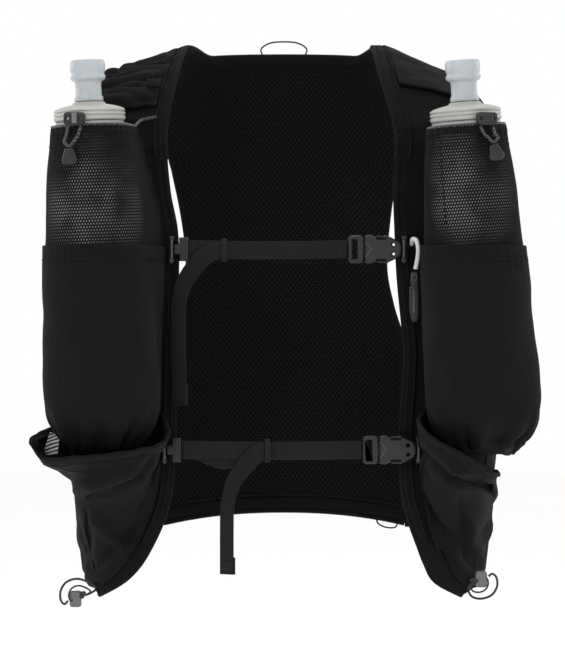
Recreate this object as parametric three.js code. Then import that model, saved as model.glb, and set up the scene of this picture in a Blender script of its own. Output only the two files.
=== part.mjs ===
// Running hydration vest, worn form, in millimetres, +Z up.
// The front faces -Y and +X is the viewer's right. The origin is the middle of the neck at the saddle
// of the shoulders, where the vest hangs on its wearer.
import * as THREE from 'three';

// Body of the vest
const frontLength = 400; // origin down to the front tips
const backLength = 342; // origin down to the middle of the back hem
const chestHalfWidth = 172;
const hemHalfWidth = 149;
const torsoHalfDepth = 80;
const torsoPower = 3.5; // squareness of the plan outline
const shoulderTop = 18; // shoulder seam above the origin
const shoulderRise = 88; // shoulder seam above the chest line
const shoulderSlope = 0.45; // fall of the shoulder per millimetre outwards
const neckHalfWidth = 75;
const frontGapHalf = 85; // middle of the vest out to a front edge
const shoulderHalfSpan = 132; // middle out to the outer end of a shoulder seam
const backHalfWidth = 95; // half the back panel at its side seams
const backHemRise = 10; // how far the middle of the back hem arches above its ends
const sideHemShare = 0.985; // foot of the side seam as a share of the front length
const panelWall = 2.5;
const backWall = 3;
const pocketWall = 1.2;
const seamGap = 0.4;
const seamOpening = 0.7; // degrees left open between the front and side panels
const sideSeamAngle = 24; // degrees forward of the side, where front and side panels meet

// Flasks
const flaskLength = 237;
const flaskHalfWidth = 40;
const flaskHalfDepth = 29;
const flaskPanelGap = 2;
const leftFlaskGap = 20; // front gap's edge to the side of the flask at its neck
const rightFlaskGap = 11;
const neckDrop = 43.5; // origin down to the foot of the cap
const capRadius = 27;
const capHeight = 15;
const valveRadius = 10.5;
const valveHeight = 31;

// Pockets
const pocketEase = 1.6; // room between a flask and its pocket
const layerGap = 0.6; // between two layers of cloth
const mouthDrop = 48; // origin down to the mouth of the mesh pocket
const overlayDrop = 136; // origin down to the hem of the bottle pocket
const overlayLap = 12; // mesh pocket hidden behind the bottle pocket
const lipDrop = 262; // origin down to the inner end of the hem pocket's lip
const placketWidth = 7;
const placketWall = 1;
const tabSize = 14;

// Cords
const drawcordSize = 2.2;
const thinCordSize = 1.3;
const hemCordSize = 1.6;
const railCordSize = 2.6;
const whistleCordSize = 3;
const cordSides = 8;

// Chest straps
const webbingWidth = 13.5;
const webbingWall = 1.6;
const upperStrapDrop = 138;
const lowerStrapDrop = 289;
const strapStandoff = 3; // cloth of the panel to the back of the webbing
const keeperLength = 4;
const tailForward = 1.5; // how far a tail hangs in front of its webbing
const hardwareGap = 0.4;
const sliderLength = 7;
const sliderHeight = 18;
const hardwareWall = 4;
const buckleHeight = 22;
const buckleWall = 6.4;
const plugLength = 12;
const socketLength = 26;
const railHeight = 17;

// Small hardware
const guideWidth = 16;
const guideHeight = 9.5;
const guideWall = 3.6;
const gripWidth = 12.5;
const gripHeight = 12.5;
const gripWall = 5;
const lockWidth = 9;
const lockHeight = 12.5;
const lockWall = 6;
const whistleWidth = 8;
const whistleLength = 38;
const whistleWall = 4.5;

const chestLine = shoulderTop - shoulderRise;
const flaskCentreY = -(torsoHalfDepth + panelWall + flaskPanelGap + flaskHalfDepth);
const panelFace = -(torsoHalfDepth + panelWall);

// Front edges. down is a share of the front length, the columns are shares of frontGapHalf.
const frontEdges = [
  { down: -0.045, left: 0.88, right: 0.79 },
  { down: 0.03, left: 0.97, right: 0.87 },
  { down: 0.085, left: 1.02, right: 0.95 },
  { down: 0.14, left: 1.04, right: 0.99 },
  { down: 0.235, left: 1.005, right: 0.97 },
  { down: 0.31, left: 0.94, right: 0.98 },
  { down: 0.4, left: 0.93, right: 1.0 },
  { down: 0.5, left: 0.935, right: 1.045 },
  { down: 0.55, left: 0.94, right: 1.06 },
  { down: 0.685, left: 0.955, right: 1.02 },
  { down: 0.76, left: 0.97, right: 1.02 },
  { down: 0.815, left: 1.0, right: 1.05 },
  { down: 0.857, left: 1.06, right: 1.1 },
  { down: 0.9, left: 1.155, right: 1.175 },
  { down: 0.94, left: 1.27, right: 1.25 },
  { down: 0.972, left: 1.42, right: 1.34 },
  { down: 1.0, left: 1.64, right: 1.575 },
];

// Side edges of the back panel: shares of the back length and of backHalfWidth
const backEdges = [
  { down: 0.2, wide: 0.95 },
  { down: 0.32, wide: 0.87 },
  { down: 0.44, wide: 0.835 },
  { down: 0.53, wide: 0.9 },
  { down: 0.6, wide: 0.985 },
  { down: 0.64, wide: 1.0 },
  { down: 1.03, wide: 1.0 },
];

// Outer edge of a shoulder strap: lift is the angle over the shoulder in degrees,
// out a share of chestHalfWidth
const strapEdges = [
  { lift: 0, left: 0.95, right: 0.95 },
  { lift: 20, left: 0.965, right: 0.955 },
  { lift: 56, left: 0.9, right: 0.865 },
  { lift: 90, left: shoulderHalfSpan / chestHalfWidth, right: shoulderHalfSpan / chestHalfWidth },
];

// A flask from neck to base: shares of its length, half width and half depth
const flaskSections = [
  { down: 0, wide: 0.64, deep: 0.88 },
  { down: 0.07, wide: 0.7, deep: 0.92 },
  { down: 0.16, wide: 0.77, deep: 0.95 },
  { down: 0.39, wide: 0.86, deep: 1.0 },
  { down: 0.65, wide: 0.95, deep: 1.0 },
  { down: 0.85, wide: 1.0, deep: 0.97 },
  { down: 0.93, wide: 0.93, deep: 0.8 },
  { down: 0.975, wide: 0.74, deep: 0.48 },
  { down: 1.0, wide: 0.5, deep: 0.17 },
];

// Where each flask's axis stands: its neck's distance out from the inner edge of the flask's place,
// and how far it leans outwards per millimetre up
const flaskStands = {
  left: { side: -1, neck: frontGapHalf + flaskHalfWidth + leftFlaskGap, lean: 0.042 },
  right: { side: 1, neck: frontGapHalf + flaskHalfWidth + rightFlaskGap, lean: -0.063 },
};

// Inner seams of the pockets: fall is a share of the flask's length below its neck, seam a share of the way
// from the front edge to the side of the chest
const pocketSeams = {
  left: [
    { fall: -0.015, seam: 0.27 },
    { fall: 0.154, seam: 0.16 },
    { fall: 0.289, seam: 0.112 },
    { fall: 0.66, seam: 0.145 },
    { fall: 0.897, seam: 0.152 },
    { fall: 0.956, seam: 0.243 },
    { fall: 0.998, seam: 0.355 },
    { fall: 1.04, seam: 0.505 },
  ],
  right: [
    { fall: -0.015, seam: 0.3 },
    { fall: 0.154, seam: 0.284 },
    { fall: 0.289, seam: 0.277 },
    { fall: 0.66, seam: 0.195 },
    { fall: 0.897, seam: 0.254 },
    { fall: 0.956, seam: 0.333 },
    { fall: 0.998, seam: 0.457 },
    { fall: 1.04, seam: 0.618 },
  ],
};

// How the bottle pocket closes under the flask: shares of the flask's length, of the girth and of the depth
const pocketFoot = [
  { fall: 0.897, girth: 1.0, draw: 0 },
  { fall: 0.971, girth: 1.02, draw: 0 },
  { fall: 1.006, girth: 1.15, draw: 0 },
  { fall: 1.025, girth: 1.0, draw: 0.3 },
  { fall: 1.045, girth: 0.8, draw: 0.85 },
];

// Lip of each hem pocket: along runs from the inner to the outer seam, drop is a share of the front length
const lips = {
  left: [
    { along: 0, drop: 0 },
    { along: 0.2, drop: 0.045 },
    { along: 0.4, drop: 0.065 },
    { along: 0.6, drop: 0.075 },
    { along: 0.74, drop: 0.078 },
    { along: 0.86, drop: 0.05 },
    { along: 1, drop: 0.02 },
  ],
  right: [
    { along: 0, drop: 0.005 },
    { along: 0.15, drop: 0.03 },
    { along: 0.3, drop: 0.06 },
    { along: 0.5, drop: 0.083 },
    { along: 0.66, drop: 0.1 },
    { along: 0.8, drop: 0.11 },
    { along: 1, drop: 0.105 },
  ],
};

// Upper ends of the plackets as shares of the front length
const placketTops = { left: 0.5, right: 0.31 };

// Hem pocket bulge from lip to hem: girth and offset of the ellipse it hangs round, as shares of the
// flask's half sizes, and the seam's distance from the placket
const hemPocketForms = {
  left: { wide: 1.27, deep: 1.2, offset: 0.05, seam: 5.5 },
  right: { wide: 0.72, deep: 1.12, offset: -0.52, seam: 11.5 },
};

// Folds of cloth as bulges between two points: places as shares of chestHalfWidth and frontLength
const folds = {
  left: [
    { x0: 0.55, z0: 0.46, x1: 0.75, z1: 0.7, high: 3.2, wide: 13 },
    { x0: 0.56, z0: 0.76, x1: 0.92, z1: 0.81, high: 4.5, wide: 10 },
    { x0: 0.86, z0: 0.84, x1: 0.66, z1: 0.94, high: 3.2, wide: 9 },
  ],
  right: [
    { x0: 0.62, z0: 0.3, x1: 0.75, z1: 0.62, high: 2.6, wide: 13 },
    { x0: 0.6, z0: 0.74, x1: 0.9, z1: 0.8, high: 4.5, wide: 10 },
    { x0: 0.88, z0: 0.83, x1: 0.7, z1: 0.95, high: 3.2, wide: 9 },
  ],
};

const colours = {
  cloth: { color: 0x17181a, roughness: 0.85 },
  mesh: { color: 0x202124, roughness: 0.9 },
  webbing: { color: 0x2a2a29, roughness: 0.75 },
  hardware: { color: 0x333438, roughness: 0.45 },
  cap: { color: 0xb9b9b2, roughness: 0.5 },
  valve: { color: 0xdfe4e6, roughness: 0.3 },
  flask: { color: 0xc9ced2, roughness: 0.25 },
  cord: { color: 0x5a5a5a, roughness: 0.8 },
  whiteCord: { color: 0xe6e6e4, roughness: 0.8 },
};

const vest = new THREE.Group();

function addPiece(name, geometry, finish, parent = vest) {
  const material = new THREE.MeshStandardMaterial({ metalness: 0, ...colours[finish] });
  const mesh = new THREE.Mesh(geometry, material);
  mesh.name = name;
  parent.add(mesh);
  return mesh;
}

const mix = (from, to, share) => from + (to - from) * share;
const clampShare = (value) => Math.min(1, Math.max(0, value));
const ease = (value) => clampShare(value) ** 2 * (3 - 2 * clampShare(value));
const radians = THREE.MathUtils.degToRad;
const down = (share) => -share * frontLength;

// Smooth value of one column of a table, between the rows on either side of a place
function readTable(rows, key, column, place) {
  const last = rows.length - 1;
  if (place <= rows[0][key]) return rows[0][column];
  if (place >= rows[last][key]) return rows[last][column];
  const upper = rows.findIndex((row) => row[key] > place);
  const slopeAt = (i) => {
    const before = rows[Math.max(0, i - 1)];
    const after = rows[Math.min(last, i + 1)];
    return (after[column] - before[column]) / (after[key] - before[key]);
  };
  const a = rows[upper - 1];
  const b = rows[upper];
  const span = b[key] - a[key];
  const t = (place - a[key]) / span;
  const stepped = a[column] * (2 * t ** 3 - 3 * t ** 2 + 1) + b[column] * (3 * t ** 2 - 2 * t ** 3);
  const sloped = slopeAt(upper - 1) * (t ** 3 - 2 * t ** 2 + t) + slopeAt(upper) * (t ** 3 - t ** 2);
  return stepped + sloped * span;
}

// Closed body from points and triangles, turned to face out
function closedBody(points, triangles) {
  let volume = 0;
  for (const [a, b, c] of triangles) {
    volume += points[a].dot(points[b].clone().cross(points[c]));
  }
  const index = triangles.flatMap(([a, b, c]) => (volume > 0 ? [a, b, c] : [a, c, b]));
  const geometry = new THREE.BufferGeometry().setFromPoints(points);
  geometry.setIndex(index);
  geometry.computeVertexNormals();
  return geometry;
}

// Sheet of cloth: a grid of points on one face, thickened along its normals
function sheetBody(grid, wall) {
  const rows = grid.length;
  const columns = grid[0].length;
  const face = [];
  const back = [];
  for (let i = 0; i < rows; i++) {
    for (let j = 0; j < columns; j++) {
      const along = grid[i][Math.min(j + 1, columns - 1)].clone().sub(grid[i][Math.max(j - 1, 0)]);
      const across = grid[Math.min(i + 1, rows - 1)][j].clone().sub(grid[Math.max(i - 1, 0)][j]);
      const normal = along.cross(across).normalize();
      face.push(grid[i][j]);
      back.push(grid[i][j].clone().addScaledVector(normal, wall));
    }
  }
  const offset = face.length;
  const triangles = [];
  const quad = (a, b, c, d) => triangles.push([a, b, c], [a, c, d]);
  const at = (i, j) => i * columns + j;
  for (let i = 0; i < rows - 1; i++) {
    for (let j = 0; j < columns - 1; j++) {
      quad(at(i, j), at(i, j + 1), at(i + 1, j + 1), at(i + 1, j));
      triangles.push([offset + at(i, j), offset + at(i + 1, j + 1), offset + at(i, j + 1)]);
      triangles.push([offset + at(i, j), offset + at(i + 1, j), offset + at(i + 1, j + 1)]);
    }
  }
  const rim = [];
  for (let j = 0; j < columns - 1; j++) rim.push(at(0, j));
  for (let i = 0; i < rows - 1; i++) rim.push(at(i, columns - 1));
  for (let j = columns - 1; j > 0; j--) rim.push(at(rows - 1, j));
  for (let i = rows - 1; i > 0; i--) rim.push(at(i, 0));
  rim.forEach((a, i) => {
    const b = rim[(i + 1) % rim.length];
    quad(b, a, offset + a, offset + b);
  });
  return closedBody([...face, ...back], triangles);
}

// Solid through rings of equal count, closed with a fan at each end
function loftBody(rings) {
  const count = rings[0].length;
  const points = rings.flat();
  const triangles = [];
  for (let i = 0; i < rings.length - 1; i++) {
    for (let j = 0; j < count; j++) {
      const next = (j + 1) % count;
      const a = i * count + j;
      const b = i * count + next;
      triangles.push([a, b, b + count], [a, b + count, a + count]);
    }
  }
  const middleOf = (ring) => ring.reduce((sum, p) => sum.add(p), new THREE.Vector3()).divideScalar(count);
  const first = points.push(middleOf(rings[0])) - 1;
  const end = points.push(middleOf(rings[rings.length - 1])) - 1;
  for (let j = 0; j < count; j++) {
    const next = (j + 1) % count;
    const base = (rings.length - 1) * count;
    triangles.push([first, next, j], [end, base + j, base + next]);
  }
  return closedBody(points, triangles);
}

function cordBody(points, size, steps) {
  const section = new THREE.Shape();
  for (let i = 0; i < cordSides; i++) {
    const turn = ((i + 0.5) / cordSides) * 2 * Math.PI;
    const corner = [Math.cos(turn) * size / 2, Math.sin(turn) * size / 2];
    if (i === 0) section.moveTo(...corner);
    else section.lineTo(...corner);
  }
  const route = new THREE.CatmullRomCurve3(points.map((p) => new THREE.Vector3(...p)));
  return new THREE.ExtrudeGeometry(section, { extrudePath: route, steps, curveSegments: 1 });
}

// Flat band that follows a route in the upright plane, its width turned with the route
function bandBody(route, width, wall, steps) {
  const curve = new THREE.CatmullRomCurve3(route.map((p) => new THREE.Vector3(...p)));
  const forward = new THREE.Vector3(0, -1, 0);
  const grid = [];
  for (let i = 0; i <= steps; i++) {
    const middle = curve.getPointAt(i / steps);
    const across = curve.getTangentAt(i / steps).cross(forward).normalize();
    grid.push([-0.5, 0.5].map((share) => middle.clone().addScaledVector(across, share * width)));
  }
  return sheetBody(grid, wall);
}

// Plate cut from an outline in the upright plane, thickened along Y about its middle
function plateBody(outline, wall, holes = [], bevel = 0) {
  const shape = new THREE.Shape(outline.map(([x, z]) => new THREE.Vector2(x, z)));
  for (const hole of holes) shape.holes.push(new THREE.Path(hole.map(([x, z]) => new THREE.Vector2(x, z))));
  const geometry = new THREE.ExtrudeGeometry(shape, {
    depth: wall - 2 * bevel,
    bevelEnabled: bevel > 0,
    bevelThickness: bevel,
    bevelSize: bevel,
    bevelOffset: -bevel,
    bevelSegments: 1,
    curveSegments: 4,
  });
  geometry.translate(0, 0, -(wall - 2 * bevel) / 2);
  geometry.rotateX(Math.PI / 2);
  return geometry;
}

// Rounded rectangle as a list of corner points
function roundedOutline(width, height, radius, cornerSteps = 3) {
  const points = [];
  const corners = [[1, 1, 0], [-1, 1, 90], [-1, -1, 180], [1, -1, 270]];
  for (const [sx, sz, start] of corners) {
    for (let i = 0; i <= cornerSteps; i++) {
      const turn = radians(start + (90 * i) / cornerSteps);
      const x = sx * (width / 2 - radius) + radius * Math.cos(turn);
      const z = sz * (height / 2 - radius) + radius * Math.sin(turn);
      points.push([x, z]);
    }
  }
  return points;
}

function roundHole(x, z, radius, count = 8) {
  return Array.from({ length: count }, (_, i) => {
    const turn = (-2 * Math.PI * i) / count;
    return [x + radius * Math.cos(turn), z + radius * Math.sin(turn)];
  });
}

// Worn form: a squared oval that narrows to the hem, with the shoulders arching over above the chest line
function torsoHalfWidth(z) {
  return mix(chestHalfWidth, hemHalfWidth, clampShare((-z / frontLength - 0.5) / 0.5));
}

function shoulderRiseAt(x) {
  return shoulderRise - shoulderSlope * Math.max(0, Math.abs(x) - neckHalfWidth);
}

function torsoDepthAt(x, z) {
  const share = Math.min(Math.abs(x) / torsoHalfWidth(z), 0.995);
  return torsoHalfDepth * (1 - share ** torsoPower) ** (1 / torsoPower);
}

// Point on the worn form. turn is 0 at the side, 90 at the front and -90 at the back, in degrees.
function wornPoint(side, turn, z, lift = 0) {
  const angle = radians(turn);
  const x = (torsoHalfWidth(z) + lift) * Math.cos(angle) ** (2 / torsoPower);
  let y = -Math.sign(angle) * (torsoHalfDepth + lift) * Math.abs(Math.sin(angle)) ** (2 / torsoPower);
  if (z > chestLine) {
    y *= Math.sqrt(1 - clampShare((z - chestLine) / shoulderRiseAt(x)) ** 2);
  }
  return new THREE.Vector3(side * x, y, z);
}

function turnAt(x, z, lift = 0) {
  const share = Math.min(Math.abs(x) / (torsoHalfWidth(z) + lift), 1);
  return THREE.MathUtils.radToDeg(Math.acos(share ** (torsoPower / 2)));
}

function frontEdgeAt(hand, z) {
  return frontGapHalf * readTable(frontEdges, 'down', hand, -z / frontLength);
}

// Grid of points from a function of two shares
function surfaceGrid(rows, columns, pointAt) {
  return Array.from({ length: rows + 1 }, (_, i) =>
    Array.from({ length: columns + 1 }, (_, j) => pointAt(i / rows, j / columns)),
  );
}

// Back panel, up to the shoulder seams on both sides of the neckline
function makeBackPanel() {
  const rows = 13;
  const columns = 18;
  const archShare = 0.4;
  const grid = surfaceGrid(rows, columns, (up, across) => {
    const reach = 2 * across - 1;
    const spread = Math.sign(reach) * Math.abs(reach) ** 0.9;
    if (up <= 1 - archShare) {
      const rise = up / (1 - archShare);
      const hem = -backLength - backHemRise * Math.abs(spread) ** 2.2;
      const z = mix(hem, chestLine, rise);
      const x = spread * backHalfWidth * readTable(backEdges, 'down', 'wide', -z / backLength);
      return new THREE.Vector3(x, torsoDepthAt(x, z), z);
    }
    const arch = (up - 1 + archShare) / archShare;
    const half = mix(backHalfWidth * backEdges[0].wide, shoulderHalfSpan, ease(arch) ** 0.8);
    const x = spread * half;
    const inNeck = clampShare(1 - (x / neckHalfWidth) ** 2);
    const power = 2 + 3.5 * inNeck;
    const end = mix(90, 64, ease(inNeck * 2.2));
    const angle = radians(Math.min(end * arch, 89.9));
    const y = torsoDepthAt(x, chestLine) * Math.cos(angle) ** (2 / power);
    const z = chestLine + shoulderRiseAt(x) * Math.sin(angle) ** (2 / power);
    return new THREE.Vector3(x, y + (arch > 0.999 && inNeck < 0.02 ? seamGap : 0), z);
  });
  return sheetBody(grid, -backWall);
}

// Front half of a shoulder, from its seam on top down to the chest line
function makeShoulderStrap(hand, side) {
  const grid = surfaceGrid(8, 5, (fall, across) => {
    const lift = 90 * (1 - fall);
    const arch = Math.sin(radians(lift));
    const inner = frontEdgeAt(hand, chestLine + shoulderRise * arch);
    const outer = chestHalfWidth * readTable(strapEdges, 'lift', hand, lift);
    const x = mix(inner, outer, across);
    const y = -torsoDepthAt(x, chestLine) * Math.cos(radians(lift));
    return new THREE.Vector3(side * x, y - (fall === 0 ? seamGap : 0), chestLine + shoulderRiseAt(x) * arch);
  });
  return sheetBody(grid, -side * panelWall);
}

function makeFrontPanel(hand, side) {
  const top = chestLine - seamGap;
  const grid = surfaceGrid(14, 4, (fall, across) => {
    const inner = mix(top, -frontLength, fall);
    const outer = mix(top, down(sideHemShare), fall);
    const z = mix(inner, outer, across);
    const start = turnAt(frontEdgeAt(hand, inner), inner);
    return wornPoint(side, mix(start, sideSeamAngle, across), z);
  });
  return sheetBody(grid, -side * panelWall);
}

function makeSidePanel(side) {
  const grid = surfaceGrid(7, 8, (fall, across) => {
    const armhole = mix(down(0.47), down(0.515), Math.sin(Math.PI * across)) - 12 * across;
    const hem = mix(down(sideHemShare), -backLength - backHemRise - 1, ease(across));
    const z = mix(armhole, hem, fall);
    const backTurn = -turnAt(backHalfWidth + seamGap * 1.5, z);
    return wornPoint(side, mix(sideSeamAngle - seamOpening, backTurn, across), z);
  });
  return sheetBody(grid, -side * panelWall);
}

// Plan of a pocket: straight from its inner seam to an oval, round the oval, and straight to its outer seam.
// Places are distances out from the middle of the vest. The oval is drawn a little large, so that the
// flats between its points stay outside the true one.
const straightSteps = 2;

function pocketPlan(seamIn, seamOut, oval, steps) {
  const tangentTurn = (seam, sign) => {
    const u = (seam.x - oval.x) / oval.wide;
    const v = (seam.y - oval.y) / oval.deep;
    const reach = Math.max(Math.hypot(u, v), 1.0001);
    return Math.atan2(v, u) + sign * Math.acos(1 / reach);
  };
  const from = tangentTurn(seamIn, 1);
  let to = tangentTurn(seamOut, -1);
  while (to < from) to += 2 * Math.PI;
  const arcSteps = steps - 2 * straightSteps;
  const reach = 1 / Math.cos((to - from) / arcSteps / 2);
  const ovalPoint = (turn) => new THREE.Vector2(
    oval.x + oval.wide * reach * Math.cos(turn),
    oval.y + oval.deep * reach * Math.sin(turn),
  );
  const straight = (a, b, i) => new THREE.Vector2(a.x, a.y).lerp(b, i / straightSteps);
  const first = ovalPoint(from);
  const last = ovalPoint(to);
  const points = [];
  for (let i = 0; i < straightSteps; i++) points.push(straight(seamIn, first, i));
  for (let i = 0; i <= arcSteps; i++) points.push(ovalPoint(mix(from, to, i / arcSteps)));
  for (let i = 1; i <= straightSteps; i++) points.push(straight(last, seamOut, i));
  return points;
}

// Keeps a plan point outside the panels by a lift
function clearOfPanel(point, z, lift) {
  const width = torsoHalfWidth(z) + lift;
  const depth = torsoHalfDepth + lift;
  const reach = ((Math.abs(point.x) / width) ** torsoPower + (Math.abs(point.y) / depth) ** torsoPower)
    ** (1 / torsoPower);
  return reach < 1 ? point.divideScalar(reach) : point;
}

// Height of the folds at a place on the cloth, in millimetres
function foldHeight(hand, x, z) {
  let height = 0;
  for (const fold of folds[hand]) {
    const from = new THREE.Vector2(fold.x0 * chestHalfWidth, down(fold.z0));
    const to = new THREE.Vector2(fold.x1 * chestHalfWidth, down(fold.z1));
    const along = to.clone().sub(from);
    const place = new THREE.Vector2(Math.abs(x), z);
    const share = clampShare(place.clone().sub(from).dot(along) / along.lengthSq());
    const distance = place.distanceTo(from.addScaledVector(along, share));
    height += fold.high * Math.exp(-((distance / fold.wide) ** 2));
  }
  return height;
}

function flaskOval(hand, z, room) {
  const stand = flaskStands[hand];
  const share = clampShare(flaskFall(z));
  return {
    x: stand.neck + (z + neckDrop) * stand.lean,
    y: flaskCentreY,
    wide: flaskHalfWidth * readTable(flaskSections, 'down', 'wide', share) + room,
    deep: flaskHalfDepth * readTable(flaskSections, 'down', 'deep', share) + room,
  };
}

function flaskFall(z) {
  return (-neckDrop - z) / flaskLength;
}

function pocketSeamAt(hand, z) {
  return mix(frontEdgeAt(hand, z), chestHalfWidth, readTable(pocketSeams[hand], 'fall', 'seam', flaskFall(z)));
}

// Height of a place on the mouth, which lies square to the leaning flask
function mouthHeight(hand, x, z, fade) {
  const stand = flaskStands[hand];
  return z - (x - stand.neck) * stand.lean * fade;
}

function meshPocketRow(hand, side, z, steps, room) {
  const lift = panelWall + layerGap * (z > chestLine ? 3 : 1);
  const seamX = pocketSeamAt(hand, z) + pocketWall + layerGap * 2;
  const seamIn = wornPoint(1, turnAt(seamX, z, lift), z, lift);
  const seamOut = wornPoint(1, sideSeamAngle + 7, z, lift);
  const fade = 1 - ease((-mouthDrop - z) / 40);
  return pocketPlan(seamIn, seamOut, flaskOval(hand, z, room), steps).map(
    (p) => new THREE.Vector3(side * p.x, p.y, mouthHeight(hand, p.x, z, fade)),
  );
}

function makeMeshPocket(hand, side) {
  const bottom = -overlayDrop - overlayLap;
  const grid = Array.from({ length: 5 }, (_, i) =>
    meshPocketRow(hand, side, mix(-mouthDrop, bottom, i / 4), 14, pocketEase),
  );
  return sheetBody(grid, -side * pocketWall);
}

function makeBottlePocket(hand, side) {
  const lift = panelWall + layerGap;
  const steps = 14;
  const levels = [0, 0.16, 0.34, 0.52, 0.7, 0.8, 0.87, 0.93, 0.97, 1];
  const bottom = -neckDrop - pocketFoot[pocketFoot.length - 1].fall * flaskLength;
  const grid = levels.map((level) => {
    const z = mix(-overlayDrop, bottom, level);
    const foot = (column) => readTable(pocketFoot, 'fall', column, flaskFall(z));
    const over = (pocketWall + layerGap) * (1 - ease((level - 0.16) / 0.2));
    const oval = flaskOval(hand, z, pocketEase + over);
    oval.wide *= foot('girth');
    oval.y = mix(oval.y, panelFace - 6, foot('draw'));
    const seamX = pocketSeamAt(hand, z);
    const seamIn = wornPoint(1, turnAt(seamX, z, lift), z, lift);
    const outTurn = mix(sideSeamAngle + 3, 50, ease((level - 0.78) / 0.22));
    const seamOut = wornPoint(1, outTurn, z, lift);
    const gathered = 1.6 * ease((level - 0.7) / 0.2);
    return pocketPlan(seamIn, seamOut, oval, steps).map((p, i) => {
      const away = Math.sin((Math.PI * i) / steps);
      const pucker = gathered * (1 + Math.cos(i * 2.1)) * away;
      const swell = foldHeight(hand, p.x, z) * away + pucker;
      const outward = new THREE.Vector2(p.x - oval.x, p.y - flaskCentreY).normalize();
      p.addScaledVector(outward, swell);
      clearOfPanel(p, z, lift);
      return new THREE.Vector3(side * p.x, p.y, z);
    });
  });
  return sheetBody(grid, -side * pocketWall);
}

function makeHemPocket(hand, side) {
  const lift = panelWall + layerGap * 1.2;
  const steps = 14;
  const form = hemPocketForms[hand];
  const stand = flaskStands[hand];
  const levels = [0, 0.07, 0.16, 0.28, 0.42, 0.56, 0.7, 0.85, 1];
  const grid = levels.map((level) => {
    const innerZ = mix(-lipDrop, down(0.98), level);
    const outerZ = mix(-lipDrop, down(0.955), level);
    const innerX = frontEdgeAt(hand, innerZ) + placketWidth + form.seam;
    const outTurn = mix(-6, 6, level);
    const seamIn = wornPoint(1, turnAt(innerX, innerZ, lift), innerZ, lift);
    const seamOut = wornPoint(1, outTurn, outerZ, lift);
    const slack = (1 - level) ** 1.2;
    const oval = {
      x: stand.neck + form.offset * flaskHalfWidth - (lipDrop - neckDrop + 20) * stand.lean,
      y: mix(panelFace + 25, flaskCentreY, slack),
      wide: flaskHalfWidth * mix(0.5, form.wide, slack),
      deep: flaskHalfDepth * mix(0.3, form.deep, slack),
    };
    return pocketPlan(seamIn, seamOut, oval, steps).map((p, i) => {
      const along = i / steps;
      const drop = readTable(lips[hand], 'along', 'drop', along) * frontLength;
      const z = mix(innerZ, outerZ, along) - drop * (1 - level);
      const flat = wornPoint(1, mix(turnAt(innerX, innerZ, lift), outTurn, along), z, lift);
      p.lerp(new THREE.Vector2(flat.x, flat.y), ease((level - 0.3) / 0.65));
      const away = Math.sin(Math.PI * along);
      const outward = new THREE.Vector2(p.x, p.y).normalize();
      p.addScaledVector(outward, foldHeight(hand, p.x, z) * away * ease(level * 3) * (1 - level ** 3));
      clearOfPanel(p, z, lift);
      return new THREE.Vector3(side * p.x, p.y, z);
    });
  });
  return sheetBody(grid, -side * pocketWall);
}

function makePlacket(hand, side) {
  const grid = surfaceGrid(10, 1, (fall, across) => {
    const z = mix(down(placketTops[hand]), down(0.905), fall);
    const taper = fall > 0.99 ? 0.45 : 1;
    const x = frontEdgeAt(hand, z) + 3 + placketWidth * mix(0.5, across, taper);
    const lift = panelWall + seamGap;
    return wornPoint(side, turnAt(x, z, lift), z, lift);
  });
  return sheetBody(grid, -side * placketWall);
}

// Flask, its cap and its bite valve stand on one leaning axis
function makeFlask(hand, side) {
  const stand = flaskStands[hand];
  const lean = Math.atan(stand.lean);
  const count = 20;
  const rings = flaskSections.map((row) =>
    Array.from({ length: count }, (_, i) => {
      const turn = (2 * Math.PI * i) / count;
      const out = flaskHalfWidth * row.wide * Math.cos(turn);
      const fall = flaskLength * row.down;
      return new THREE.Vector3(
        side * (stand.neck + out * Math.cos(lean) - fall * Math.sin(lean)),
        flaskCentreY + flaskHalfDepth * row.deep * Math.sin(turn),
        -neckDrop - out * Math.sin(lean) - fall * Math.cos(lean),
      );
    }),
  );
  return loftBody(rings);
}

function latheBody(profile, sides) {
  const geometry = new THREE.LatheGeometry(profile.map(([r, h]) => new THREE.Vector2(r, h)), sides);
  return geometry.rotateX(Math.PI / 2);
}

// Cap: ribbed skirt, domed top and neck collar
const capProfile = [
  { out: 0, up: 0.03 },
  { out: 0.95, up: 0.03 },
  { out: 1.0, up: 0.12 },
  { out: 1.0, up: 0.28 },
  { out: 0.96, up: 0.34 },
  { out: 1.0, up: 0.4 },
  { out: 1.0, up: 0.56 },
  { out: 0.93, up: 0.68 },
  { out: 0.5, up: 0.86 },
  { out: 0.44, up: 1.0 },
  { out: 0, up: 1.0 },
];

// Bite valve: stem, waist and mouthpiece
const valveProfile = [
  { out: 0, up: 0 },
  { out: 1.0, up: 0 },
  { out: 1.02, up: 0.1 },
  { out: 0.92, up: 0.16 },
  { out: 0.92, up: 0.5 },
  { out: 1.22, up: 0.54 },
  { out: 1.26, up: 0.64 },
  { out: 1.18, up: 0.7 },
  { out: 1.28, up: 0.8 },
  { out: 1.24, up: 0.96 },
  { out: 1.1, up: 1.0 },
  { out: 0, up: 1.0 },
];

function addFlask(hand, side) {
  const stand = flaskStands[hand];
  addPiece(`${hand}_flask`, makeFlask(hand, side), 'flask');
  const axis = new THREE.Group();
  axis.position.set(side * stand.neck, flaskCentreY, -neckDrop);
  axis.rotation.y = side * Math.atan(stand.lean);
  vest.add(axis);
  const capPoints = capProfile.map((p) => [p.out * capRadius, p.up * capHeight]);
  addPiece(`${hand}_flask_cap`, latheBody(capPoints, 20), 'cap', axis);
  const valvePoints = valveProfile.map((p) => [p.out * valveRadius, p.up * valveHeight]);
  const valve = addPiece(`${hand}_bite_valve`, latheBody(valvePoints, 14), 'valve', axis);
  valve.position.z = capHeight + seamGap;
}

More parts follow.
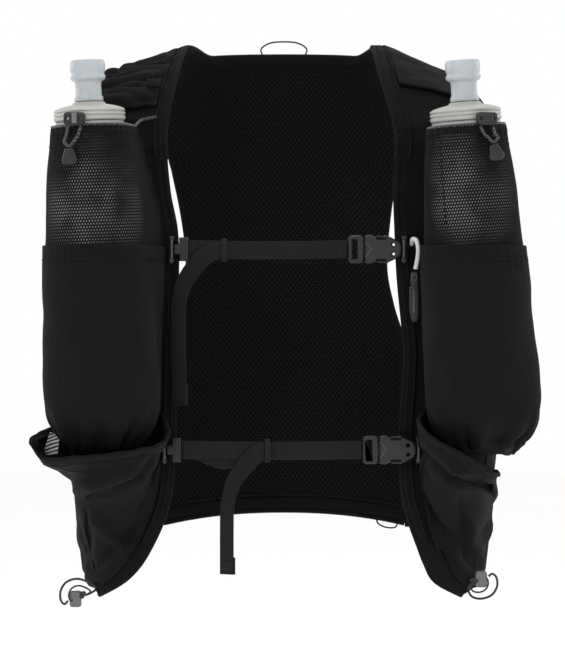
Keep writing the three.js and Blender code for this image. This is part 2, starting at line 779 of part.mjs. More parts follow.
// Drawcord round the pocket mouth, its guide, the hanging pull and its grip. guide and gripX are places out
// from the neck, as shares of flaskHalfWidth.
const drawcordPlaces = {
  left: { guide: 0.25, gripX: 0.35, gripDrop: 22, gripTurn: 4 },
  right: { guide: 0.35, gripX: 0.47, gripDrop: 19, gripTurn: -16 },
};

function addDrawcord(hand, side) {
  const place = drawcordPlaces[hand];
  const stand = flaskStands[hand];
  const ringZ = -mouthDrop + seamGap + drawcordSize / 2;
  const ring = meshPocketRow(hand, side, -mouthDrop, 16, pocketEase + pocketWall / 2);
  const ringPoints = ring.slice(0, -1).map((p) => [p.x, p.y, p.z + ringZ + mouthDrop]);
  ringPoints[0][1] -= drawcordSize;
  addPiece(`${hand}_drawcord`, cordBody(ringPoints, drawcordSize, 15), 'cord');

  const guideX = stand.neck + place.guide * flaskHalfWidth;
  const oval = flaskOval(hand, -mouthDrop, pocketEase + pocketWall);
  const slope = Math.asin(clampShare((guideX - oval.x) / oval.wide)) * 0.8;
  const front = oval.y - oval.deep * Math.cos(slope / 0.8);
  const guideY = front - seamGap - drawcordSize / 2 - guideWall / 2;
  const guideZ = -mouthDrop + guideHeight * 0.6;
  const hole = guideWidth * 0.32;
  const guide = new THREE.Group();
  guide.position.set(side * guideX, guideY, guideZ);
  guide.rotation.z = side * slope;
  vest.add(guide);
  const guideOutline = roundedOutline(guideWidth, guideHeight, 2.5);
  const guideHoles = [-hole, hole].map((x) => roundHole(x, 0, 1.5, 6));
  addPiece(`${hand}_cord_guide`, plateBody(guideOutline, guideWall, guideHoles), 'hardware', guide);

  const gripX = side * (stand.neck + place.gripX * flaskHalfWidth);
  const gripY = guideY - hardwareGap * 5;
  const gripTop = guideZ - place.gripDrop;
  const startZ = guideZ - guideHeight / 2 - seamGap * 2;
  const ends = [-1, 1].map((end) => [
    side * guideX + end * hole * Math.cos(slope),
    guideY + end * hole * Math.sin(side * slope),
    startZ,
  ]);
  const turnRadius = drawcordSize * 1.6;
  const pull = [
    ends[0],
    [mix(ends[0][0], gripX - turnRadius, 0.5), mix(ends[0][1], gripY, 0.5), mix(startZ, gripTop, 0.45)],
    [gripX - turnRadius, gripY, gripTop + turnRadius * 1.4],
    [gripX, gripY, gripTop + seamGap + drawcordSize / 2],
    [gripX + turnRadius, gripY, gripTop + turnRadius * 1.4],
    [mix(ends[1][0], gripX + turnRadius, 0.5), mix(ends[1][1], gripY, 0.5), mix(startZ, gripTop, 0.45)],
    ends[1],
  ];
  addPiece(`${hand}_drawcord_pull`, cordBody(pull, drawcordSize, 15), 'cord');

  const grip = new THREE.Group();
  grip.position.set(gripX, gripY, gripTop);
  grip.rotation.y = radians(side * place.gripTurn);
  vest.add(grip);
  const half = gripWidth / 2;
  const gripOutline = [
    [-half * 0.5, 0], [-half * 0.95, -gripHeight * 0.72], [-half * 0.8, -gripHeight * 0.92],
    [-half * 0.4, -gripHeight], [half * 0.4, -gripHeight], [half * 0.8, -gripHeight * 0.92],
    [half * 0.95, -gripHeight * 0.72], [half * 0.5, 0],
  ];
  addPiece(`${hand}_cord_grip`, plateBody(gripOutline, gripWall, [], 1), 'hardware', grip);
}

// Turns a plate so that its thickness runs along X and its first side stands up
const alongStrap = new THREE.Matrix4().makeBasis(
  new THREE.Vector3(0, 0, 1),
  new THREE.Vector3(1, 0, 0),
  new THREE.Vector3(0, 1, 0),
);

// Chest straps. Distances along X are worked out from the front edges that the strap joins.
// plackets counts the placket layers under each rail.
const straps = {
  upper: {
    drop: upperStrapDrop, railLeft: 5.5, railRight: 6.5, keeper: -45, plackets: { left: 0, right: 1 },
  },
  lower: {
    drop: lowerStrapDrop, railLeft: 8.5, railRight: 15, keeper: -12.5, plackets: { left: 1, right: 0 },
  },
};

// Routes of the hanging tails, along X and Z from their keepers
const tails = {
  upper: [
    [4, 0], [-6, -0.6], [-15, -5], [-24, -15], [-31, -27], [-34, -40], [-34.5, -70], [-34, -95], [-34, -117],
  ],
  lower: [
    [4, 0.1], [0, 0.1], [-3, -0.1], [-9, -3.2], [-16, -10.5], [-22, -18], [-27, -28], [-30, -42],
    [-30.5, -60], [-30.5, -78], [-30.5, -93],
  ],
};

function addRail(name, x, y, z, layers) {
  const half = railHeight / 2;
  const face = -torsoDepthAt(x, z) - panelWall;
  const out = face - seamGap * 1.75 - layers * (placketWall + seamGap);
  const points = [
    [x, out, z + half],
    [x, y - 2.4, z + half * 0.86],
    [x, y - 3, z + half * 0.3],
    [x, y - 3, z - half * 0.3],
    [x, y - 2.4, z - half * 0.86],
    [x, out, z - half],
  ];
  addPiece(name, cordBody(points, railCordSize, 7), 'hardware');
}

function addStrap(level) {
  const strap = straps[level];
  const z = -strap.drop;
  const leftEdge = frontEdgeAt('left', z);
  const rightEdge = frontEdgeAt('right', z);
  const railLeftX = -leftEdge - strap.railLeft;
  const railRightX = rightEdge + strap.railRight;
  const railY = panelFace - 1.2 - railCordSize / 2;
  addRail(`${level}_left_strap_rail`, railLeftX, railY, z, strap.plackets.left);
  addRail(`${level}_right_strap_rail`, railRightX, railY, z, strap.plackets.right);

  const middleY = panelFace - strapStandoff - hardwareWall / 2;
  const hookLength = 4;
  const sliderStart = railLeftX + railCordSize / 2 + hardwareGap;
  const hookHalf = sliderHeight * 0.2;
  const sliderHalf = sliderHeight / 2;
  const sliderOutline = [
    [0, hookHalf], [0, -hookHalf], [hookLength, -hookHalf], [hookLength, -sliderHalf],
    [hookLength + sliderLength, -sliderHalf], [hookLength + sliderLength, sliderHalf],
    [hookLength, sliderHalf], [hookLength, hookHalf],
  ];
  const slider = addPiece(`${level}_slider`, plateBody(sliderOutline, hardwareWall, [], 0.6), 'hardware');
  slider.position.set(sliderStart, middleY, z);

  const socketEnd = railRightX - railCordSize / 2 - hardwareGap;
  const socketStart = socketEnd - socketLength - 2;
  const half = buckleHeight / 2;
  const socketOutline = [
    [0, half * 0.92], [0, -half * 0.92], [4, -half], [8, -half * 0.86], [13, -half * 0.86],
    [16, -half * 0.98], [20, -half * 0.8], [socketLength, -half * 0.55], [socketLength + 2, -half * 0.25],
    [socketLength + 2, half * 0.25], [socketLength, half * 0.55], [20, half * 0.8], [16, half * 0.98],
    [13, half * 0.86], [8, half * 0.86], [4, half],
  ];
  const dots = [-1, 1].map((row) => roundHole(socketLength - 4, row * half * 0.32, 1.1, 6));
  const socketGeometry = plateBody(socketOutline, buckleWall, dots, 1);
  const socket = addPiece(`${level}_buckle_socket`, socketGeometry, 'hardware');
  socket.position.set(socketStart, middleY, z);

  const plugStart = socketStart - hardwareGap - plugLength;
  const slotHalf = webbingWidth / 2 + hardwareGap * 2;
  const slotStart = plugLength * 0.27;
  const slotEnd = slotStart + webbingWall * 2 + hardwareGap;
  const plugOutline = roundedOutline(plugLength, buckleHeight * 0.96, 3).map(
    ([x, h]) => [x + plugLength / 2, h],
  );
  const slot = [
    [slotStart, -slotHalf], [slotStart, slotHalf], [slotEnd, slotHalf], [slotEnd, -slotHalf],
  ];
  const plug = addPiece(`${level}_buckle_plug`, plateBody(plugOutline, buckleWall, [slot], 0.8), 'hardware');
  plug.position.set(plugStart, middleY, z);

  const webbingStart = sliderStart + hookLength + sliderLength + hardwareGap;
  const webbingEnd = plugStart - hardwareGap;
  const webbingY = middleY + webbingWall / 2;
  const webbingRoute = [[webbingStart, webbingY, z], [mix(webbingStart, webbingEnd, 0.5), webbingY, z - 0.8],
    [webbingEnd, webbingY, z]];
  addPiece(`${level}_webbing`, bandBody(webbingRoute, webbingWidth, webbingWall, 8), 'webbing');

  const innerDepth = webbingWall * 2 + layerGap + hardwareGap * 2;
  const innerHeight = webbingWidth + hardwareGap * 4;
  const ring = roundedOutline(innerHeight + 2.4, innerDepth + 2.4, 1, 1);
  const ringHole = [[-innerHeight / 2, -innerDepth / 2], [-innerHeight / 2, innerDepth / 2],
    [innerHeight / 2, innerDepth / 2], [innerHeight / 2, -innerDepth / 2]];
  const keeperGeometry = plateBody(ring, keeperLength, [ringHole]).applyMatrix4(alongStrap);
  const layersY = webbingY - webbingWall - layerGap / 2;
  const keeper = addPiece(`${level}_keeper`, keeperGeometry, 'webbing');
  keeper.position.set(strap.keeper, layersY, z - 0.6);
  const tailY = webbingY - webbingWall - layerGap;
  const tailRoute = tails[level].map(([x, h]) => {
    const forward = tailForward * ease((-x - keeperLength / 2) / 12);
    return [strap.keeper + x, tailY - forward, z - 0.6 + h];
  });
  addPiece(`${level}_tail`, bandBody(tailRoute, webbingWidth, webbingWall, 16), 'webbing');
}

// Thin cords keep their chosen points
const haulLoopRoute = [[-17, 59, 17.5], [-18, 59, 22], [-12, 59.5, 26.5], [0, 60, 28], [12, 59.5, 26.5],
  [18, 59, 22], [17, 59, 17.5]];
const hemLoopRoute = [[73, 81.2, -348.4], [75, 81.4, -352.5], [82, 81.6, -355.5], [88.5, 81, -355],
  [90, 80.6, -351.8]];
const hemCordRoutes = {
  left: [
    [-153.6, -52, -401], [-148, -51.5, -399.5], [-142.9, -51, -395.6], [-149, -54, -390.5],
    [-158, -56, -388], [-166, -56, -391], [-170, -55, -398], [-169.5, -54, -405],
    [-167, -53, -407.5], [-164.4, -52, -405],
  ],
  right: [
    [144.5, -59, -390.5], [141, -57.6, -392.6], [140.2, -56, -396.6], [143, -56.4, -401.5],
    [150, -57, -403], [158, -58, -400], [162, -59, -393], [161, -59, -386],
    [158, -59, -384], [155.4, -59, -386],
  ],
};
const hemLockPlaces = { left: [-158.6, -52, -403.5], right: [149.8, -59, -388] };
const whistleRoute = [[96.5, -80.1, -134], [97, -86, -130.5], [99.5, -92, -131.5], [101, -93, -138],
  [100.3, -92.5, -146], [99, -92, -153]];
const whistlePlace = [98.4, -92, -155];
const tabPlace = [-flaskStands.left.neck - flaskHalfWidth * 0.75, panelFace - 7.5, -lipDrop - tabSize];

function addSmallPieces() {
  addPiece('haul_loop', cordBody(haulLoopRoute, thinCordSize, 12), 'cord');
  addPiece('hem_loop', cordBody(hemLoopRoute, thinCordSize, 8), 'cord');
  for (const [hand, route] of Object.entries(hemCordRoutes)) {
    addPiece(`${hand}_hem_cord`, cordBody(route, hemCordSize, 17), 'cord');
    const outline = roundedOutline(lockWidth, lockHeight, 2, 2);
    const lock = addPiece(`${hand}_hem_cord_lock`, plateBody(outline, lockWall, [], 0.8), 'hardware');
    lock.position.set(...hemLockPlaces[hand]);
  }
  addPiece('whistle_cord', cordBody(whistleRoute, whistleCordSize, 10), 'whiteCord');
  const outline = roundedOutline(whistleWidth, whistleLength, 2.5, 2).map(
    ([x, z]) => [x, z - whistleLength / 2],
  );
  const whistle = addPiece('whistle', plateBody(outline, whistleWall, [], 1), 'hardware');
  whistle.position.set(...whistlePlace);
  const tab = roundedOutline(tabSize, tabSize * 1.2, 1, 1).map(([x, z]) => [x, z - tabSize * 0.6]);
  const tabPiece = addPiece('striped_tab', plateBody(tab, pocketWall), 'cloth');
  tabPiece.position.set(...tabPlace);
}

addPiece('back_panel', makeBackPanel(), 'mesh');
for (const [hand, { side }] of Object.entries(flaskStands)) {
  addPiece(`${hand}_shoulder_strap`, makeShoulderStrap(hand, side), 'cloth');
  addPiece(`${hand}_front_panel`, makeFrontPanel(hand, side), 'cloth');
  addPiece(`${hand}_side_panel`, makeSidePanel(side), 'cloth');
  addPiece(`${hand}_mesh_pocket`, makeMeshPocket(hand, side), 'mesh');
  addPiece(`${hand}_bottle_pocket`, makeBottlePocket(hand, side), 'cloth');
  addPiece(`${hand}_hem_pocket`, makeHemPocket(hand, side), 'cloth');
  addPiece(`${hand}_placket`, makePlacket(hand, side), 'cloth');
  addFlask(hand, side);
  addDrawcord(hand, side);
}
addStrap('upper');
addStrap('lower');
addSmallPieces();

export default vest;
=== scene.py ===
import math
import bmesh
import bpy
from mathutils import Matrix, Vector, noise


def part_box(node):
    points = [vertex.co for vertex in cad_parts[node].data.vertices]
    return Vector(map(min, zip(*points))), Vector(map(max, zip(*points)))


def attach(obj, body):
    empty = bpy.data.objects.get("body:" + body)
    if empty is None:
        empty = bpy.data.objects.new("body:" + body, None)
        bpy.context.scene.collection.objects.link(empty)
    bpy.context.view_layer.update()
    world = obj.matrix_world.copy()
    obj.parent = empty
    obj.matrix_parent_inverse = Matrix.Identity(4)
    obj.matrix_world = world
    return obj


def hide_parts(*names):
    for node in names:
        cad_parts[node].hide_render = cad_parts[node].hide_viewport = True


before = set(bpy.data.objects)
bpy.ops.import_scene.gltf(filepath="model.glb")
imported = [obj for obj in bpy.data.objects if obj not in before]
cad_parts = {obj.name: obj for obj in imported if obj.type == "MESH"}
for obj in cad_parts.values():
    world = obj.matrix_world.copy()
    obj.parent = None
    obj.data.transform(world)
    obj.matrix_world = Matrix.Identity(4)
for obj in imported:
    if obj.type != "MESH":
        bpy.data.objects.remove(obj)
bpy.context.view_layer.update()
print("frame loaded")

# Camera, level and straight in front of the vest

camera = {"place": (-0.0011, -3.3, -0.195), "lens": 236.3, "sensor": 36, "clip": 40}
cameraData = bpy.data.cameras.new("camera")
cameraData.lens = camera["lens"]
cameraData.sensor_width = camera["sensor"]
cameraData.clip_end = camera["clip"]
cameraObject = bpy.data.objects.new("camera", cameraData)
cameraObject.location = camera["place"]
cameraObject.rotation_euler = (math.radians(90), 0, 0)
bpy.context.scene.collection.objects.link(cameraObject)
bpy.context.scene.camera = cameraObject


def mix(start, end, share):
    return start + (end - start) * share


def clampShare(value):
    return min(1.0, max(0.0, value))


def ease(value):
    share = clampShare(value)
    return share * share * (3 - 2 * share)


def bell(distance, width):
    return math.exp(-((distance / width) ** 2))


def readTable(table, key, column, place):
    # smooth value of a column between the rows on either side of a place
    keys, values = table[key], table[column]
    last = len(keys) - 1
    if place <= keys[0]:
        return values[0]
    if place >= keys[last]:
        return values[last]
    upper = next(i for i, k in enumerate(keys) if k > place)

    def slopeAt(i):
        before, after = max(0, i - 1), min(last, i + 1)
        return (values[after] - values[before]) / (keys[after] - keys[before])

    span = keys[upper] - keys[upper - 1]
    t = (place - keys[upper - 1]) / span
    stepped = values[upper - 1] * (2 * t**3 - 3 * t**2 + 1) + values[upper] * (3 * t**2 - 2 * t**3)
    sloped = slopeAt(upper - 1) * (t**3 - 2 * t**2 + t) + slopeAt(upper) * (t**3 - t**2)
    return stepped + sloped * span


def between(first, last, steps):
    # evenly spaced places from one to another
    return [tuple(mix(a, b, i / steps) for a, b in zip(first, last)) for i in range(steps + 1)]


def fadeIn(u, v, left, right, top, foot):
    # 0 at the edges of a sheet and 1 inside, with how fast it grows from each edge
    return ease(u * left) * ease((1 - u) * right) * ease(v * top) * ease((1 - v) * foot)


# Routes and sweeps

routeSteps = 24


def smoothRoute(points, count):
    # evenly spaced points on a centripetal curve through the given ones
    fixed = [Vector(p) for p in points]
    ends = [fixed[0] * 2 - fixed[1], *fixed, fixed[-1] * 2 - fixed[-2]]
    fine = []
    for k in range(1, len(ends) - 2):
        p0, p1, p2, p3 = ends[k - 1 : k + 3]
        d0, d1, d2 = (max((b - a).length, 1e-6) ** 0.5 for a, b in ((p0, p1), (p1, p2), (p2, p3)))
        t1 = ((p1 - p0) / d0 - (p2 - p0) / (d0 + d1) + (p2 - p1) / d1) * d1
        t2 = ((p2 - p1) / d1 - (p3 - p1) / (d1 + d2) + (p3 - p2) / d2) * d1
        for i in range(routeSteps):
            t = i / routeSteps
            squared = (-3 * p1 + 3 * p2 - 2 * t1 - t2) * t**2
            cubed = (2 * p1 - 2 * p2 + t1 + t2) * t**3
            fine.append(p1 + t1 * t + squared + cubed)
    fine.append(fixed[-1])
    return evenPoints(fine, count)


def evenPoints(fine, count):
    reach = [0.0]
    for a, b in zip(fine, fine[1:]):
        reach.append(reach[-1] + (b - a).length)
    spaced, k = [], 0
    for i in range(count + 1):
        goal = reach[-1] * i / count
        while k < len(fine) - 2 and reach[k + 1] < goal:
            k += 1
        gap = max(reach[k + 1] - reach[k], 1e-9)
        spaced.append(fine[k].lerp(fine[k + 1], clampShare((goal - reach[k]) / gap)))
    return spaced


def routeLength(points):
    return sum((b - a).length for a, b in zip(points, points[1:]))


def tangentsOf(points):
    last = len(points) - 1
    return [(points[min(i + 1, last)] - points[max(i - 1, 0)]).normalized() for i in range(last + 1)]


def rollingFrames(points, first=Vector((0, -1, 0))):
    # across and up directions carried along a route without twist
    tangents = tangentsOf(points)
    up = (first - tangents[0] * first.dot(tangents[0])).normalized()
    frames = []
    for tangent in tangents:
        up = (up - tangent * up.dot(tangent)).normalized()
        frames.append((tangent.cross(up), up))
    return frames


def roundRing(radius, sides):
    turns = [2 * math.pi * (i + 0.5) / sides for i in range(sides)]
    return [(radius * math.cos(t), radius * math.sin(t)) for t in turns]


def bandRing(width, wall, corner=2):
    # flat section with round edges
    ring = []
    for sx, sy, start in ((1, 1, 0), (-1, 1, 90), (-1, -1, 180), (1, -1, 270)):
        for i in range(corner + 1):
            t = math.radians(start + 90 * i / corner)
            x = sx * (width / 2 - wall * 0.45) + wall * 0.45 * math.cos(t)
            ring.append((x, sy * wall * 0.05 + wall * 0.45 * math.sin(t)))
    return ring


def flatPlaces(grid):
    # how far each point lies along its row and down its column
    width = sum(routeLength(row) for row in grid) / len(grid)
    down = [0.0] * len(grid[0])
    places = []
    for i, row in enumerate(grid):
        reach, line = (width - routeLength(row)) / 2, []
        for j, point in enumerate(row):
            reach += (point - row[j - 1]).length if j else 0
            down[j] += (point - grid[i - 1][j]).length if i else 0
            line.append((reach, down[j]))
        places.append(line)
    return places


def gridMesh(grid, closed=False):
    # a grid moved to the given points, with its flat places as the weave's coordinates
    rows, columns = len(grid) - 1, len(grid[0]) - 1
    places = flatPlaces(grid)
    bm = bmesh.new()
    bmesh.ops.create_grid(bm, x_segments=columns, y_segments=rows, size=0.5)
    weave = bm.loops.layers.uv.new("weave")
    for face in bm.faces:
        for loop in face.loops:
            place = loop.vert.co
            loop[weave].uv = places[round((place.y + 0.5) * rows)][round((place.x + 0.5) * columns)]
    for vert in bm.verts:
        vert.co = grid[round((vert.co.y + 0.5) * rows)][round((vert.co.x + 0.5) * columns)]
    if closed:
        bmesh.ops.remove_doubles(bm, verts=bm.verts, dist=1e-6)
        rims = [edge for edge in bm.edges if edge.is_boundary]
        bmesh.ops.holes_fill(bm, edges=rims, sides=0)
        bmesh.ops.recalc_face_normals(bm, faces=bm.faces)
    return bm


def sweepMesh(points, frames, ring, swell=None):
    # a ring carried along a route; swell gives its size at each share of the way
    rows = []
    for i, (point, (across, up)) in enumerate(zip(points, frames)):
        size = swell(i / (len(points) - 1)) if swell else 1
        rows.append([point + (across * a + up * b) * size for a, b in [*ring, ring[0]]])
    return gridMesh(rows, closed=True)


def roundSweep(points, thickness, sides):
    return sweepMesh(points, rollingFrames(points), roundRing(thickness / 2, sides))


def bandSweep(points, frames, width, wall):
    return sweepMesh(points, frames, bandRing(width, wall))


def addPiece(name, bm, finish, nodes=(), body="root", sharp=None):
    mesh = bpy.data.meshes.new(name)
    bm.to_mesh(mesh)
    bm.free()
    mesh.materials.append(finish)
    mesh.shade_smooth()
    if sharp:
        mesh.set_sharp_from_angle(angle=math.radians(sharp))
    piece = bpy.data.objects.new(name, mesh)
    bpy.context.scene.collection.objects.link(piece)
    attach(piece, body)
    if nodes:
        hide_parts(*nodes)
    return piece


class Cloth:
    # a sheet as rows of points on its inner face, its directions out, and places on it by two shares
    def __init__(self, grid, wall, relief=None):
        self.grid = grid
        self.wall = wall
        self.out = self.directions()
        if relief:
            rows, columns = len(grid) - 1, len(grid[0]) - 1
            self.grid = [
                [p + self.out[i][j] * relief(j / columns, i / rows, p) for j, p in enumerate(row)]
                for i, row in enumerate(grid)
            ]
            self.out = self.directions()

    def directions(self):
        rows, columns = len(self.grid) - 1, len(self.grid[0]) - 1
        out, total = [], 0
        for i, row in enumerate(self.grid):
            line = []
            for j, point in enumerate(row):
                along = row[min(j + 1, columns)] - row[max(j - 1, 0)]
                down = self.grid[min(i + 1, rows)][j] - self.grid[max(i - 1, 0)][j]
                line.append(along.cross(down).normalized())
                total += line[-1].dot(Vector((point.x, point.y, 0)))
            out.append(line)
        return out if total > 0 else [[-d for d in line] for line in out]

    def at(self, u, v, lift=0.0):
        rows, columns = len(self.grid) - 1, len(self.grid[0]) - 1
        y, x = clampShare(v) * rows, clampShare(u) * columns
        i, j = min(int(y), rows - 1), min(int(x), columns - 1)
        a, b = x - j, y - i

        def blend(grid):
            upper = grid[i][j].lerp(grid[i][j + 1], a)
            lower = grid[i + 1][j].lerp(grid[i + 1][j + 1], a)
            return upper.lerp(lower, b)

        out = blend(self.out).normalized()
        return blend(self.grid) + out * (self.wall + lift), out

    def track(self, stops, count, lift=0.0):
        # evenly spaced points with their directions out, along a smooth line through places on the sheet
        places = smoothRoute([(u, v, 0) for u, v in stops], count * 3)
        pairs = [self.at(p.x, p.y, lift) for p in places]
        points = evenPoints([p for p, _ in pairs], count)
        outs = [pairs[round(i * (len(pairs) - 1) / count)][1] for i in range(count + 1)]
        return points, outs

    def size(self):
        rows, columns = len(self.grid) - 1, len(self.grid[0]) - 1
        across = sum(routeLength(row) for row in self.grid) / (rows + 1)
        down = sum(routeLength([row[j] for row in self.grid]) for j in range(columns + 1)) / (columns + 1)
        return across, down


narrowest = 0.012


def addCloth(name, cloth, finish, nodes=()):
    flat = cloth.size()
    bm = gridMesh(cloth.grid)
    bm.normal_update()
    bm.verts.ensure_lookup_table()
    middles = [(face, face.calc_center_median()) for face in bm.faces]
    if sum(face.normal.dot(Vector((middle.x, middle.y, 0))) for face, middle in middles) < 0:
        bmesh.ops.reverse_faces(bm, faces=bm.faces)
    area = sum(f.calc_area() for f in bm.faces)
    piece = addPiece(name, bm, finish, nodes)
    wall = piece.modifiers.new("wall", "SOLIDIFY")
    wall.thickness = cloth.wall
    wall.offset = 1
    if min(flat) > narrowest:
        min(area, flat[0] * flat[1])
    return piece


shown = {"middle": 284, "top": 65, "pixel": 0.00075}


def shownSpot(cloth, px, py):
    # the two shares of the place on a cloth's outer side that the photograph shows at a pixel
    x, z = (px - shown["middle"]) * shown["pixel"], (shown["top"] - py) * shown["pixel"]
    rows, columns = len(cloth.grid) - 1, len(cloth.grid[0]) - 1
    reach = [
        (math.hypot(p.x - x, p.z - z) + 0.05 * max(0, cloth.out[i][j].y), j / columns, i / rows)
        for i, row in enumerate(cloth.grid)
        for j, p in enumerate(row)
    ]
    return min(reach)[1:]


def bandFrames(points, outs):
    return [(tangent.cross(out).normalized(), out) for tangent, out in zip(tangentsOf(points), outs)]


def addTape(name, cloth, stops, width, wall, finish, count=60, lift=0.0):
    # a flat tape that lies on the cloth
    points, outs = cloth.track(stops, count, lift + wall / 2)
    return addPiece(name, bandSweep(points, bandFrames(points, outs), width, wall), finish)


stitch = {"length": 0.0036, "size": 0.0006, "steps": 6, "sink": 0.55, "sides": 5}


def addStitches(name, lines):
    # rows of thread that rise from the cloth and dip into it, each line a list of points and their directions out
    whole = bmesh.new()
    for points, outs in lines:
        count = max(1, round(routeLength(points) / stitch["length"])) * stitch["steps"]
        sewn = []
        for i, spot in enumerate(evenPoints(points, count)):
            out = outs[round(i * (len(outs) - 1) / count)]
            rise = abs(math.sin(math.pi * i / stitch["steps"])) - stitch["sink"]
            sewn.append(spot + out * stitch["size"] * rise)
        mesh = bpy.data.meshes.new("stitchLine")
        bm = roundSweep(sewn, stitch["size"], stitch["sides"])
        bm.to_mesh(mesh)
        bm.free()
        whole.from_mesh(mesh)
        bpy.data.meshes.remove(mesh)
    return addPiece(name, whole, thread)


cordSides = 12


def addCord(name, route, size, finish, nodes=(), count=60, facts=None):
    points = smoothRoute(route, count)
    piece = addPiece(name, roundSweep(points, size, cordSides), finish, nodes)
    if facts:
        routeLength(points)
    return piece


# Finishes


class Wire:
    # a socket's output that takes part in plain sums
    def __init__(self, finish, socket):
        self.finish = finish
        self.socket = socket

    def out(self, name):
        return Wire(self.finish, self.socket.node.outputs[name])

    def maths(self, operation, *others):
        return self.finish.node("Math", {"operation": operation}, dict(enumerate([self, *others])))

    def __add__(self, other):
        return self.maths("ADD", other)

    def __sub__(self, other):
        return self.maths("SUBTRACT", other)

    def __mul__(self, other):
        return self.maths("MULTIPLY", other)

    def __truediv__(self, other):
        return self.maths("DIVIDE", other)

    def __rsub__(self, other):
        return (self * -1) + other

    def wave(self, pitch):
        # 0 to 1 and back once a pitch
        return (self * (2 * math.pi / pitch)).maths("SINE") * 0.5 + 0.5

    def step(self, low, high):
        values = {"Value": self, "From Min": low, "From Max": high, "To Min": 0.0, "To Max": 1.0}
        return self.finish.node("MapRange", {"interpolation_type": "SMOOTHSTEP"}, values)


class Finish:
    def __init__(self, name, colour, roughness, fixed=None):
        self.material = bpy.data.materials.new(name)
        self.material.use_nodes = True
        self.tree = self.material.node_tree
        self.shader = self.tree.nodes["Principled BSDF"]
        self.colour = (*colour, 1)
        self.put(self.shader, {"Base Color": self.colour, "Roughness": roughness, **(fixed or {})})

    def put(self, node, values):
        for name, value in values.items():
            if isinstance(value, Wire):
                self.tree.links.new(value.socket, node.inputs[name])
            else:
                node.inputs[name].default_value = value

    def node(self, kind, settings, values):
        made = self.tree.nodes.new("ShaderNode" + kind)
        for key, value in settings.items():
            setattr(made, key, value)
        self.put(made, values)
        return Wire(self, made.outputs[0])

    def weave(self):
        place = self.node("SeparateXYZ", {}, {0: self.node("UVMap", {"uv_map": "weave"}, {})})
        return place.out("X"), place.out("Y")

    def honeycomb(self, pitch, rise):
        # places within the cells of rows, every other row moved half a pitch
        u, v = self.weave()
        row = (v / rise).maths("FLOOR")
        x = (u / pitch + row.maths("MODULO", 2.0) * 0.5).maths("FRACT") - 0.5
        return x, (v / rise).maths("FRACT") - 0.5

    def cloud(self, scale, detail=3.0):
        place = self.node("TexCoord", {}, {}).out("Object")
        return self.node("TexNoise", {}, {"Vector": place, "Scale": scale, "Detail": detail})

    def blend(self, factor, first, second):
        # a colour between two, by a factor
        mixer = self.node("Mix", {"data_type": "RGBA"}, {"Factor": factor})
        for name, value in ((6, first), (7, second)):
            self.put(mixer.socket.node, {name: value if isinstance(value, Wire) else (*value, 1)})
        return Wire(self, mixer.socket.node.outputs[2])

    def bump(self, height, distance, strength=1.0):
        values = {"Height": height, "Distance": distance, "Strength": strength}
        self.put(self.shader, {"Normal": self.node("Bump", {}, values)})

    def set(self, **values):
        names = {"colour": "Base Color", "roughness": "Roughness", "alpha": "Alpha"}
        self.put(self.shader, {names[key]: value for key, value in values.items()})


def sheenOf(weight, roughness, shine):
    return {"Sheen Weight": weight, "Sheen Roughness": roughness, "Specular IOR Level": shine}


def clothFinish(name, dark, light, pitch, ribs=0.0):
    # plain weave with a square rib pattern, slightly uneven in tone
    finish = Finish(name, dark, 0.82, sheenOf(0.02, 0.45, 0.07))
    u, v = finish.weave()
    threads = u.wave(pitch) * v.wave(pitch)
    tone = finish.cloud(26, 4.0)
    height = threads
    if ribs:
        grid = u.wave(ribs).step(0.86, 1.0) + v.wave(ribs).step(0.86, 1.0)
        height = threads * 0.5 + grid
    finish.set(colour=finish.blend(height * 0.55 + tone * 0.45, dark, light))
    finish.set(roughness=tone * 0.12 + 0.76)
    finish.bump(height, 0.0003)
    return finish.material


def spacerFinish(name, dark, light):
    # spacer mesh: rows of small holes, every other row moved half a pitch, the holes painted near-black as the shade
    # inside them
    finish = Finish(name, dark, 0.85, sheenOf(0.015, 0.5, 0.06))
    u, v = finish.weave()
    pitch, rise = 0.0037, 0.0024
    x, y = finish.honeycomb(pitch, rise)
    reach = (x * x * (pitch / rise) ** 2 + y * y).maths("SQRT")
    solid = reach.step(0.3, 0.52)
    tone = finish.cloud(9, 3.0)
    fibres = u.wave(0.0007) * v.wave(0.0009)
    cloth = finish.blend(tone * 0.7 + fibres * 0.3, dark, light)
    # painted shade: the holes take a near-black colour for the shade inside them
    finish.set(colour=finish.blend(solid, (0.0015, 0.0015, 0.0015), cloth))
    finish.bump(solid + fibres * 0.15, 0.0008)
    return finish.material


def openMeshFinish(name, dark, light, shine, areas):
    # knitted mesh whose pores show the pale flask behind it where it is pulled tight, and elsewhere are painted
    # near-black as shade
    finish = Finish(name, dark, 0.85, sheenOf(0.015, 0.5, 0.06))
    u, v = finish.weave()
    x, y = finish.honeycomb(0.0021, 0.0023)
    reach = (x * x + y * y * 0.7).maths("SQRT")
    pore = 1 - reach.step(0.14, 0.36)
    tight = None
    for middleU, middleV, wide, high, strength in areas:
        away = ((u - middleU) / wide).maths("POWER", 2.0) + ((v - middleV) / high).maths("POWER", 2.0)
        inside = (1 - away.step(0.05, 1.25)) * strength
        tight = inside if tight is None else tight.maths("MAXIMUM", inside)
    patchy = finish.cloud(38, 3.0).step(0.22, 0.66)
    shown = pore * tight * patchy
    threads = u.wave(0.0008) * v.wave(0.0008)
    cloth = finish.blend(threads, dark, light)
    # painted shade: the pores are darkened to near-black for the shade behind the mesh
    hollow = finish.blend(pore * 0.75, cloth, (0.0016, 0.0016, 0.0016))
    finish.set(colour=finish.blend(shown, hollow, shine))
    finish.bump(1 - pore + threads * 0.2, 0.0004)
    return finish.material


